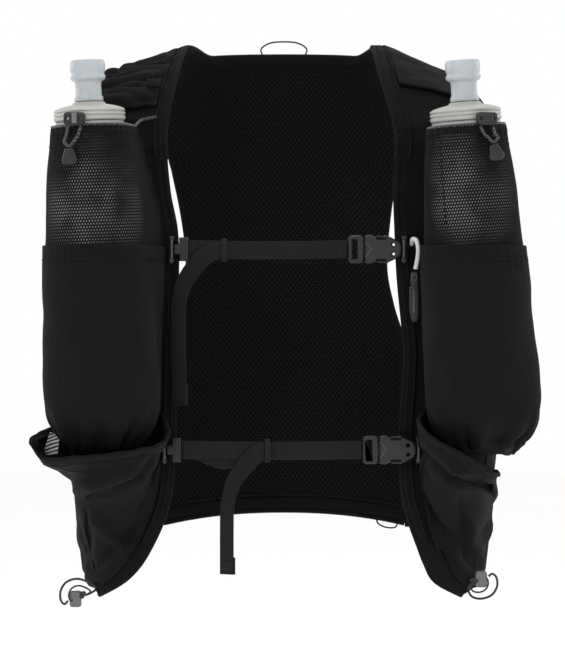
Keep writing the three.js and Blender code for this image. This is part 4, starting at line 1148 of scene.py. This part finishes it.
for hand, stand in flaskStands.items():
    side = stand["side"]
    bottom = -overlayDrop - overlayLap
    grid = rowsOf(lambda z: meshPocketRow(hand, z, pocketEase), -mouthDrop, bottom, pocket["meshRows"])
    cloths[hand, "mesh"] = mesh = Cloth(grid, pocketWall, meshRelief)
    flat = flatPlaces(mesh.grid)
    areas = []
    for px, py, *size in meshAreas[hand]:
        u, v = shownSpot(mesh, px, py)
        areas.append((*flat[round(v * pocket["meshRows"])][round(u * (len(grid[0]) - 1))], *size))
    shine = (0.17, 0.175, 0.178)
    pores = openMeshFinish(f"{hand}OpenMesh", (0.0036, 0.0036, 0.0039), (0.0088, 0.0088, 0.0094), shine, areas)
    addCloth(f"{hand}MeshPocketCloth", mesh, pores, [f"{hand}_mesh_pocket"])
    grid = rowsOf(lambda level: bottlePocketRow(hand, level), 0, 1, pocket["bottleRows"])
    cloths[hand, "bottle"] = bottle = Cloth(grid, pocketWall, bottleRelief)
    addCloth(f"{hand}BottlePocketCloth", bottle, pocketCloth, [f"{hand}_bottle_pocket"])
    grid = rowsOf(lambda level: hemPocketRow(hand, level), 0, 1, pocket["hemRows"])
    cloths[hand, "hem"] = hem = Cloth(grid, pocketWall, lambda u, v, p: hemRelief(hand, u, v, p))
    addCloth(f"{hand}HemPocketCloth", hem, pocketCloth, [f"{hand}_hem_pocket"])
    rim = between((0, 0.03), (1, 0.03), 18)
    edgeBinding(f"{hand}BottlePocketHem", bottle, rim, pocket["hem"], 120, 0.0003, tapeCloth)
    rim = between((0.006, 0.02), (0.975, 0.02), 18)
    edgeBinding(f"{hand}HemPocketLip", hem, rim, pocket["lip"], 140, 0.0006)
    edgeBinding(f"{hand}MouthHem", mesh, between((0, 0.02), (1, 0.02), 18), 0.006, 120, 0.0005)

    def placketPoint(fall, across):
        z = mix(-placket[hand] * frontLength, -placket["foot"] * frontLength, fall)
        taper = 1 - 0.55 * ease((fall - 0.96) / 0.04)
        x = frontEdgeAt(hand, z) + placket["set"] + placketWidth * mix(0.5, across, taper)
        lift = panelWall + seamGap
        return wornPoint(side, turnAt(x, z, lift), z, lift)

    cloths[hand, "placket"] = Cloth(surfaceGrid(90, 6, placketPoint), placket["wall"])
    addCloth(f"{hand}PlacketCloth", cloths[hand, "placket"], shell, [f"{hand}_placket"])
tabLow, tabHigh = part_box("striped_tab")


def tabPoint(down, across):
    y = mix(tabLow.y, tabHigh.y, 0.7) + 0.0012 * math.sin(3 * across + 2 * down)
    start = mix(tabLow.x, tabHigh.x, 0.42 * (1 - down))
    end = mix(tabLow.x, tabHigh.x, 1 - 0.16 * down)
    return Vector((mix(start, end, across), y, mix(tabHigh.z, tabLow.z, down)))


tab = Cloth(surfaceGrid(16, 16, tabPoint), 0.0008)
addCloth("stripedTabCloth", tab, stripes, ["striped_tab"])
facing = {"width": 0.0095, "wall": 0.0010, "sewn": 0.0038}
facings = {
    "left": [(158, 462), (153, 484), (144, 506), (134, 528), (128, 546)],
    "right": [(418, 440), (420, 466), (426, 498), (434, 528), (442, 552)],
}
lipSeams = {
    "left": [(56, 461), (75, 468), (105, 470), (127, 478)],
    "right": [(442, 440), (458, 455), (474, 464), (486, 468)],
}
facingLines = []
for hand, pixels in facings.items():
    cloth = cloths[hand, "hem"]
    stops = [shownSpot(cloth, *pixel) for pixel in pixels]
    addTape(f"{hand}HemFacing", cloth, stops, facing["width"], facing["wall"], shell, 60)
    points, outs = cloth.track(stops, 60, facing["wall"] + 0.0001)
    for sign in (-1, 1):
        beside = [p + f[0] * sign * facing["sewn"] for p, f in zip(points, bandFrames(points, outs))]
        facingLines.append((beside, outs))
    facingLines.append(cloth.track([shownSpot(cloth, *pixel) for pixel in lipSeams[hand]], 60, 0.0002))
addStitches("hemFacingStitches", facingLines)
print("pockets made")

# Stitching

stitchLines = [
    ("shoulder", (0.055, 0.02), (0.055, 0.98)), ("shoulder", (0.945, 0.03), (0.945, 0.98)),
    ("front", (0.052, 0.01), (0.052, 0.985)), ("front", (0.03, 0.982), (0.97, 0.982)),
    ("front", (0.955, 0.02), (0.955, 0.38)),
    ("side", (0.02, 0.035), (0.98, 0.035)), ("side", (0.02, 0.975), (0.98, 0.975)),
    ("mesh", (0.12, 0.135), (0.9, 0.135)), ("bottle", (0.04, 0.068), (0.96, 0.068)),
    ("hem", (0.05, 0.052), (0.95, 0.052)),
    ("placket", (0.15, 0.01), (0.15, 0.98)), ("placket", (0.85, 0.01), (0.85, 0.98)),
]
barTacks = {
    # each from one pixel of the photograph to another
    "left": [("bottle", (70, 273), (97, 273)), ("mesh", (143, 137), (163, 205))],
    "right": [
        ("bottle", (488, 265), (519, 265)), ("mesh", (428, 135), (432, 228)), ("mesh", (441, 132), (446, 228)),
    ],
}
for hand in flaskStands:
    lines = []
    for part, first, last in stitchLines:
        lift = 0.0001 if part == "placket" else 0.0002
        lines.append(cloths[hand, part].track(between(first, last, 12), 120, lift))
    for part, first, last in barTacks[hand]:
        cloth = cloths[hand, part]
        ends = [shownSpot(cloth, *first), shownSpot(cloth, *last)]
        for step in (-0.006, 0, 0.006):
            lines.append(cloth.track([(u, v + step) for u, v in between(*ends, 6)], 30, 0.0003))
    addStitches(f"{hand}Stitches", lines)
innerLines = []
for first, last in (((0.21, 0.952), (0.79, 0.952)), ((0.02, 0.028), (0.98, 0.028))):
    innerLines.append(backCloth.track(between(first, last, 12), 160, -backWall - back["tapeWall"] - 0.0001))
addStitches("backTapeStitches", innerLines)
print("stitches made")

# Soft flasks with caps and bite valves

flask = {"around": 64, "rows": 60, "slim": 0.003, "short": 0.004}
lathe = {"cap": 96, "valve": 64, "seat": 0.0154}
capProfile = [
    (0.0, 0.0005), (0.0250, 0.0005), (0.0262, 0.0010), (0.0268, 0.0022), (0.0268, 0.0033), (0.0262, 0.0038),
    (0.0258, 0.0042), (0.0262, 0.0046), (0.0268, 0.0051), (0.0268, 0.0062), (0.0262, 0.0067), (0.0258, 0.0071),
    (0.0262, 0.0075), (0.0267, 0.0080), (0.0265, 0.0090), (0.0256, 0.0097), (0.0235, 0.0106), (0.0190, 0.0119),
    (0.0140, 0.0129), (0.0127, 0.0133), (0.0120, 0.0139), (0.0119, 0.0146), (0.0113, 0.0149), (0.0, 0.0149),
]
valveProfile = [
    (0.0, 0.0001), (0.0106, 0.0001), (0.0109, 0.0007), (0.0109, 0.0026), (0.0104, 0.0034), (0.0098, 0.0046),
    (0.0098, 0.0140), (0.0103, 0.0150), (0.0122, 0.0160), (0.0131, 0.0172), (0.0132, 0.0188), (0.0124, 0.0200),
    (0.0123, 0.0212), (0.0129, 0.0224), (0.0132, 0.0250), (0.0130, 0.0290), (0.0125, 0.0305), (0.0116, 0.0309),
    (0.0040, 0.0304), (0.0, 0.0302),
]


def latheMesh(profile, steps, place):
    bm = bmesh.new()
    verts = [bm.verts.new((r, 0, z)) for r, z in profile]
    edges = [bm.edges.new(pair) for pair in zip(verts, verts[1:])]
    bmesh.ops.spin(bm, geom=verts + edges, cent=(0, 0, 0), axis=(0, 0, 1), angle=2 * math.pi, steps=steps,
                   use_merge=True)
    bmesh.ops.remove_doubles(bm, verts=bm.verts, dist=1e-6)
    bmesh.ops.recalc_face_normals(bm, faces=bm.faces)
    bmesh.ops.transform(bm, matrix=place, verts=bm.verts)
    return bm


for hand, stand in flaskStands.items():
    lean = math.atan(stand["lean"])
    rows = []
    for i in range(flask["rows"] + 1):
        share = 1 - (1 - i / flask["rows"]) ** 1.6
        slim = flask["slim"] * ease((share - 0.7) / 0.25)
        wide = flaskHalfWidth * readTable(flaskSections, "down", "wide", share) - slim
        deep = flaskHalfDepth * readTable(flaskSections, "down", "deep", share) - slim
        row = []
        for j in range(flask["around"] + 1):
            turn = 2 * math.pi * (j % flask["around"]) / flask["around"]
            out, fall = wide * math.cos(turn), (flaskLength - flask["short"]) * share
            x = stand["neck"] + out * math.cos(lean) - fall * math.sin(lean)
            z = -neckDrop - out * math.sin(lean) - fall * math.cos(lean)
            row.append(Vector((stand["side"] * x, flaskCentreY + deep * math.sin(turn), z)))
        rows.append(row)
    addPiece(f"{hand}FlaskBody", gridMesh(rows, closed=True), flaskFilm, [f"{hand}_flask"])
    foot = Vector((stand["side"] * stand["neck"], flaskCentreY, -neckDrop))
    axis = Matrix.Translation(foot) @ Matrix.Rotation(stand["side"] * lean, 4, "Y")
    cap = latheMesh(capProfile, lathe["cap"], axis)
    addPiece(f"{hand}CapRibbed", cap, capPlastic, [f"{hand}_flask_cap"], f"{hand}_cap", 50)
    valve = latheMesh(valveProfile, lathe["valve"], axis @ Matrix.Translation((0, 0, lathe["seat"])))
    addPiece(f"{hand}BiteValveSoft", valve, valveSilicone, [f"{hand}_bite_valve"], f"{hand}_cap", 50)
print("flasks made")

# Chest straps

straps = {
    "upper": {"drop": 0.138, "keeper": -0.045, "twist": 36},
    "lower": {"drop": 0.289, "keeper": -0.0125, "twist": 42},
}
tails = {
    # millimetres across and up from the keeper
    "upper": [
        (4, 0), (-6, -0.6), (-15, -5), (-24, -15), (-31, -27), (-34, -40),
        (-34.5, -70), (-34, -95), (-34, -117),
    ],
    "lower": [
        (4, 0.1), (0, 0.1), (-3, -0.1), (-9, -3.2), (-16, -10.5), (-22, -18), (-27, -28), (-30, -42),
        (-30.5, -60), (-30.5, -78), (-30.5, -93),
    ],
}
webbing = {"width": 0.0135, "wall": 0.0016}


def uprightFrames(points, twist=0):
    # a band facing forward, turned about its own length by up to twist degrees
    frames = []
    for i, tangent in enumerate(tangentsOf(points)):
        turn = math.radians(twist) * ease((i / (len(points) - 1) - 0.12) / 0.35)
        forward = Matrix.Rotation(turn, 3, tangent) @ Vector((0, -1, 0))
        frames.append((tangent.cross(forward).normalized(), forward))
    return frames


def addBand(name, points, frames, nodes=()):
    addPiece(name, bandSweep(points, frames, webbing["width"], webbing["wall"]), strapWebbing, nodes)


tailPoints, tailFrames = {}, {}
for level, strap in straps.items():
    low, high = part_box(f"{level}_webbing")
    y = (low.y + high.y) / 2
    z = -strap["drop"]
    route = [(low.x, y, z), (mix(low.x, high.x, 0.5), y, z - 0.0008), (high.x, y, z)]
    points = smoothRoute(route, 60)
    addBand(f"{level}WebbingBand", points, uprightFrames(points), [f"{level}_webbing"])
    tailY = low.y - 0.0006 - webbing["wall"] / 2
    route = []
    for x, h in tails[level]:
        forward = 0.0015 * ease((-x - 2) / 12)
        route.append((strap["keeper"] + x / 1000, tailY - forward, z - 0.0006 + h / 1000))
    points = smoothRoute(route, 120)
    tailPoints[level] = points
    tailFrames[level] = uprightFrames(points, strap["twist"])
    addBand(f"{level}TailBand", points, tailFrames[level], [f"{level}_tail"])
slackY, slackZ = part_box("lower_webbing")[1].y + webbing["wall"], -straps["lower"]["drop"]
slack = [
    (-0.066, 0.0), (-0.061, -0.0022), (-0.053, -0.006), (-0.045, -0.0078),
    (-0.037, -0.0058), (-0.03, -0.0018), (-0.026, 0.0),
]
slackPoints = smoothRoute([(x, slackY, slackZ + h) for x, h in slack], 60)
addBand("lowerSlackBand", slackPoints, uprightFrames(slackPoints))
tailEnd = {"points": 15, "gap": 0.0002, "seams": (3, 12), "reach": 0.0055}
for level, points in tailPoints.items():
    last = list(zip(points, tailFrames[level]))[-tailEnd["points"] :]
    behind = [p - up * (webbing["wall"] + tailEnd["gap"]) for p, (_, up) in last]
    addBand(f"{level}TailFold", behind, [pair for _, pair in last])
    sewn = []
    for place in tailEnd["seams"]:
        p, (across, up) = last[-place]
        middle = p + up * (webbing["wall"] / 2 + tailEnd["gap"])
        sewn.append(([middle + across * x for x in (-tailEnd["reach"], 0, tailEnd["reach"])], [up] * 3))
    addStitches(f"{level}TailStitches", sewn)
print("straps made")


def bevelEdges(bm, edges, width, segments):
    bmesh.ops.bevel(bm, geom=edges, offset=width, offset_type="OFFSET", segments=segments, profile=0.5,
                    affect="EDGES", material=-1, clamp_overlap=True)


def refined(node, name, finish, width=0.0005, segments=2):
    # a CAD piece's own form with its edges rounded
    bm = bmesh.new()
    bm.from_mesh(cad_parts[node].data)
    bmesh.ops.remove_doubles(bm, verts=bm.verts, dist=1e-6)
    bmesh.ops.dissolve_limit(bm, angle_limit=math.radians(2), verts=bm.verts, edges=bm.edges)
    edges = [e for e in bm.edges if e.is_manifold and e.calc_face_angle() > math.radians(25)]
    bevelEdges(bm, edges, width, segments)
    return addPiece(name, bm, finish, [node], sharp=40)


def addBlock(name, low, high, rounding, finish):
    # a moulded block between two corners with rounded edges
    low, high = Vector(low), Vector(high)
    bm = bmesh.new()
    bmesh.ops.create_cube(bm, size=1)
    bmesh.ops.transform(bm, matrix=Matrix.Diagonal((*(high - low), 1)), verts=bm.verts)
    bevelEdges(bm, bm.edges[:], rounding, 3)
    bmesh.ops.translate(bm, verts=bm.verts, vec=(low + high) / 2)
    return addPiece(name, bm, finish, sharp=50)


def addKnot(name, place, size, strand, finish):
    # an overhand knot drawn tight
    points = []
    for i in range(49):
        t = 2 * math.pi * i / 48
        bend = Vector((math.sin(t) + 2 * math.sin(2 * t), -math.sin(3 * t), math.cos(t) - 2 * math.cos(2 * t)))
        points.append(Vector(place) + bend * size / 6)
    return addPiece(name, roundSweep(points, strand, 6), finish)


socket = {
    "chevron": 0.0062, "tip": 0.0052, "set": 0.0012, "bend": 0.0018, "inset": 0.0006, "ridge": 0.0012,
    "tongue": 0.0048, "reach": 0.003, "slitStart": 0.0085, "slitEnd": 0.0165, "slit": 0.0011, "arm": 0.0009,
    "edge": 0.74,
}
sliderRib = {"half": 0.0005, "proud": 0.0004, "sink": 0.0006, "short": 0.0014, "spread": 0.17}
for level in straps:
    low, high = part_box(f"{level}_buckle_socket")
    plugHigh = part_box(f"{level}_buckle_plug")[1]
    middle, half = (low.z + high.z) / 2, (high.z - low.z) / 2
    faceY = low.y - 0.0001
    tip = low.x + socket["tip"]
    addBlock(f"{level}BuckleTongue", (plugHigh.x - 0.0004, low.y + socket["set"], middle - socket["tongue"]),
             (low.x + socket["reach"], high.y - socket["set"], middle + socket["tongue"]), 0.0007, darkPlastic)
    chevron = [(-socket["chevron"], low.x + socket["inset"]), (-socket["bend"], tip - socket["set"]), (0, tip),
               (socket["bend"], tip - socket["set"]), (socket["chevron"], low.x + socket["inset"])]
    points = smoothRoute([(x, faceY, middle - fall) for fall, x in chevron], 28)
    addPiece(f"{level}BuckleNotch", roundSweep(points, socket["ridge"], 8), railGreyAndHighlight)
    for name, sign in (("Upper", 1), ("Lower", -1)):
        edge = middle + sign * half * socket["edge"]
        start, end, slit = low.x + socket["slitStart"], low.x + socket["slitEnd"], socket["slit"]
        # painted shade: a thin near-black plate of tape cloth stands for the shade in each slit
        addBlock(f"{level}{name}SlitShade", (start, low.y - 0.00015, edge - slit), (end, low.y + 0.0004, edge + slit),
                 0.0004, tapeCloth)
        side = edge + sign * socket["set"]
        addBlock(f"{level}{name}Arm", (start + 0.0008, low.y + socket["inset"], side - socket["arm"]),
                 (end - 0.0008, high.y - socket["inset"], side + socket["arm"]), 0.0006, darkPlastic)
    low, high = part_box(f"{level}_slider")
    for i in range(3):
        x = mix(low.x, high.x, 0.5 + sliderRib["spread"] * i)
        addBlock(f"{level}SliderRib{i}",
                 (x - sliderRib["half"], low.y - sliderRib["proud"], low.z + sliderRib["short"]),
                 (x + sliderRib["half"], low.y + sliderRib["sink"], high.z - sliderRib["short"]), 0.0003, darkPlastic)
    for hand in flaskStands:
        low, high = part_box(f"{level}_{hand}_strap_rail")
        for name, z in (("Top", high.z - 0.0012), ("Foot", low.z + 0.0012)):
            place = ((low.x + high.x) / 2, low.y + 0.002, z)
            addKnot(f"{level}{hand.title()}Rail{name}Knot", place, 0.0030, 0.0011, railGreyAndHighlight)
for level in straps:
    refined(f"{level}_slider", f"{level}SliderHook", darkPlastic)
    refined(f"{level}_buckle_socket", f"{level}BuckleSocketShell", darkPlastic, 0.0007)
    refined(f"{level}_buckle_plug", f"{level}BucklePlugFrame", darkPlastic, 0.0006)
    refined(f"{level}_keeper", f"{level}KeeperLoop", strapWebbing, 0.0004)
    for hand in flaskStands:
        refined(f"{level}_{hand}_strap_rail", f"{level}{hand.title()}RailCord", railGreyAndHighlight, 0.0002, 1)
for hand in flaskStands:
    refined(f"{hand}_cord_guide", f"{hand}CordGuidePlate", darkPlastic)
    refined(f"{hand}_cord_grip", f"{hand}CordGripBody", darkPlastic)
    refined(f"{hand}_hem_cord_lock", f"{hand}HemCordLockBody", greyPlastic)
whistle = {
    "down": [0.0, 0.03, 0.1, 0.2, 0.25, 0.27, 0.3, 0.8, 0.9, 0.97, 1.0],
    "size": [0.5, 0.72, 0.8, 0.82, 0.8, 0.7, 1.0, 0.98, 0.86, 0.6, 0.3],
}
low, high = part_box("whistle")
centre = (low + high) / 2
points = [Vector((centre.x, centre.y, mix(high.z, low.z, i / 60))) for i in range(61)]
frames = [(Vector((1, 0, 0)), Vector((0, -1, 0)))] * 61
ring = bandRing(high.x - low.x, high.y - low.y, 4)
bm = sweepMesh(points, frames, ring, lambda share: readTable(whistle, "down", "size", share))
addPiece("whistleBody", bm, darkPlastic, ["whistle"])
eye = [
    Vector((centre.x + 0.0017 * math.cos(t), low.y + 0.0003, high.z - 0.0042 + 0.0022 * math.sin(t)))
    for t in (2 * math.pi * i / 24 for i in range(25))
]
addPiece("whistleEye", roundSweep(eye, 0.001, 6), railGreyAndHighlight)
# painted highlight: a low raised strip in paler plastic stands for the bright highlight down the whistle's body
addBlock("whistleHighlightRidge", (centre.x - 0.0016, low.y - 0.0004, low.z + 0.007),
         (centre.x + 0.0002, low.y + 0.0004, high.z - 0.0135), 0.0003, railGreyAndHighlight)
low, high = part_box("left_cord_guide")
middle = (low + high) / 2
addBlock("leftGuideTab", (middle.x - 0.0019, low.y + 0.0001, middle.z - 0.0036),
         (middle.x + 0.0019, low.y + 0.0016, middle.z + 0.0042), 0.0005, greyPlastic)
print("hardware made")

# Cords


def metres(route):
    return [tuple(value / 1000 for value in point) for point in route]


haulRoute = metres([
    (-17, 59, 17.5), (-18, 59, 22), (-12, 59.5, 26.5), (0, 60, 28), (12, 59.5, 26.5), (18, 59, 22), (17, 59, 17.5),
])
hemLoopRoute = metres([
    (73, 81.2, -348.4), (75, 81.4, -352.5), (82, 81.6, -355.5), (88.5, 81, -355), (90, 80.6, -351.8),
])
hemCordRoutes = {
    "left": metres([
        (-153.6, -52, -401), (-148, -51.5, -399.5), (-142.9, -51, -395.6), (-149, -54, -390.5), (-158, -56, -388),
        (-166, -56, -391), (-170, -55, -398), (-169.5, -54, -405), (-167, -53, -407.5), (-164.4, -52, -405),
    ]),
    "right": metres([
        (144.5, -59, -390.5), (141, -57.6, -392.6), (140.2, -56, -396.6), (143, -56.4, -401.5), (150, -57, -403),
        (158, -58, -400), (162, -59, -393), (161, -59, -386), (158, -59, -384), (155.4, -59, -386),
    ]),
}
whistleRoute = metres([
    (96.5, -80.1, -134), (97, -86, -130.5), (99.5, -92, -131.5), (101, -93, -138), (100.3, -92.5, -146),
    (99, -92, -153),
])
drawcordPlaces = {
    "left": {"guide": 0.25, "gripX": 0.35, "gripDrop": 0.022},
    "right": {"guide": 0.35, "gripX": 0.47, "gripDrop": 0.019},
}
loopFacts = {"far_end": "object", "stiffness": "limp", "lay": "hanging"}
addCord("haulLoopCord", haulRoute, 0.0013, blackBraid, ["haul_loop"], facts=loopFacts)
addCord("backHemLoopCord", hemLoopRoute, 0.0013, blackBraid, ["hem_loop"])
for hand, route in hemCordRoutes.items():
    start = Vector(route[0])
    inner = [start + (Vector(point) - start) * 0.6 + Vector((0, -0.0022, 0)) for point in route]
    addCord(f"{hand}HemCordInnerLoop", inner, 0.0014, blackBraid, count=50)
    addKnot(f"{hand}HemCordKnot", start + Vector((0, -0.0024, 0.001)), 0.0052, 0.0017, blackBraid)
    extras = [f"{hand}HemCordLockBody", f"{hand}HemCordInnerLoop", f"{hand}HemCordKnot"]
    facts = {**loopFacts, "far_end": "fitting", "with_pieces": extras}
    addCord(f"{hand}HemCordLoop", route, 0.0018, blackBraid, [f"{hand}_hem_cord"], facts=facts)
facts = {**loopFacts, "far_end": "tool", "with_pieces": ["whistleBody"]}
addCord("whistleCordLoop", whistleRoute, 0.0034, whiteBraid, ["whistle_cord"], facts=facts)

cordSize, guideWidth, guideHeight, guideWall, hardwareGap = 0.0022, 0.016, 0.0095, 0.0036, 0.0004
pull = {"rise": 0.6, "slope": 0.8, "hole": 0.32, "ahead": 5, "turn": 1.6, "loop": 1.4, "sag": 0.45}
for hand, place in drawcordPlaces.items():
    stand = flaskStands[hand]
    side = stand["side"]
    ring = meshPocketRow(hand, -mouthDrop, pocketEase + pocketWall / 2, 4, 40)
    lift = Vector((0, 0, seamGap + cordSize / 2))
    runOn = []
    if hand == "left":
        spots = [shownSpot(cloths[hand, "shoulder"], px, py) for px, py in ((156, 117), (149, 118), (142, 119))]
        runOn = [cloths[hand, "shoulder"].at(u, v, cordSize / 2)[0] for u, v in spots]
    mouth = [*runOn, *[p + lift for p in ring[1:-1]]]
    addCord(f"{hand}MouthCord", mouth, cordSize, speckledBraid, [f"{hand}_drawcord"], count=150)
    guideX = stand["neck"] + place["guide"] * flaskHalfWidth
    oval = flaskOval(hand, -mouthDrop, pocketEase + pocketWall)
    reach = math.asin(clampShare((guideX - oval["x"]) / oval["wide"]))
    slope = reach * pull["slope"]
    guideY = oval["y"] - oval["deep"] * math.cos(reach) - seamGap - cordSize / 2 - guideWall / 2
    guideZ = -mouthDrop + guideHeight * pull["rise"]
    hole = guideWidth * pull["hole"]
    gripX = side * (stand["neck"] + place["gripX"] * flaskHalfWidth)
    gripY = guideY - hardwareGap * pull["ahead"]
    gripTop = guideZ - place["gripDrop"]
    startZ = guideZ - guideHeight / 2 - seamGap * 2
    ends = [
        Vector((side * guideX + end * hole * math.cos(slope), guideY + end * hole * math.sin(side * slope), startZ))
        for end in (-1, 1)
    ]
    turn = cordSize * pull["turn"]
    strands = []
    for end, sign in zip(ends, (-1, 1)):
        x, half = gripX + sign * turn, mix(startZ, gripTop, pull["sag"])
        sagging = (mix(end.x, x, 0.5), mix(end.y, gripY, 0.5), half)
        strands.append([end, sagging, (x, gripY, gripTop + turn * pull["loop"])])
    route = [*strands[0], (gripX, gripY, gripTop + seamGap + cordSize / 2), *reversed(strands[1])]
    facts = {**loopFacts, "with_pieces": [f"{hand}CordGripBody"]}
    addCord(f"{hand}PullCord", route, cordSize, speckledBraid, [f"{hand}_drawcord_pull"], facts=facts)
print("cords made")

# Floor, backdrop and light

studio = {"floor": -0.62, "reach": 9.0, "white": (0.97, 0.97, 0.97), "aim": (0, 0, -0.2), "sky": 1.0}
floorFinish = Finish("paleFloor", studio["white"], 0.9, {"Specular IOR Level": 0.1})
floorFinish.set(colour=floorFinish.blend(floorFinish.cloud(1.5, 2.0), (0.96, 0.96, 0.96), (0.98, 0.98, 0.98)))
bm = bmesh.new()
bmesh.ops.create_grid(bm, x_segments=12, y_segments=12, size=studio["reach"])
bmesh.ops.translate(bm, verts=bm.verts, vec=(0, 0, studio["floor"]))
floorMesh = bpy.data.meshes.new("floor")
bm.to_mesh(floorMesh)
bm.free()
floorMesh.materials.append(floorFinish.material)
floorObject = bpy.data.objects.new("floor", floorMesh)
bpy.context.scene.collection.objects.link(floorObject)

lamps = [
    ("keyLamp", (-1.4, -2.4, 1.5), 1.4, 24),
    ("fillLamp", (1.8, -2.2, 0.6), 1.6, 9),
    ("topLamp", (0.0, 0.2, 2.2), 1.2, 16),
    ("leftRim", (-2.2, 1.0, 0.4), 1.2, 10),
    ("rightRim", (2.2, 1.0, 0.4), 1.2, 10),
    ("lowLamp", (0.0, -2.4, -0.5), 1.2, 3),
]
for name, place, size, power in lamps:
    light = bpy.data.lights.new(name, "AREA")
    light.size = size
    light.energy = power
    lamp = bpy.data.objects.new(name, light)
    lamp.location = place
    lamp.rotation_mode = "QUATERNION"
    lamp.rotation_quaternion = (Vector(studio["aim"]) - Vector(place)).to_track_quat("-Z", "Y")
    bpy.context.scene.collection.objects.link(lamp)

world = bpy.data.worlds.new("studio")
world.use_nodes = True
sky = world.node_tree.nodes["Background"]
sky.inputs["Color"].default_value = (1, 1, 1, 1)
sky.inputs["Strength"].default_value = studio["sky"]
bpy.context.scene.world = world
bpy.context.scene.view_settings.view_transform = "Standard"
print("studio made")
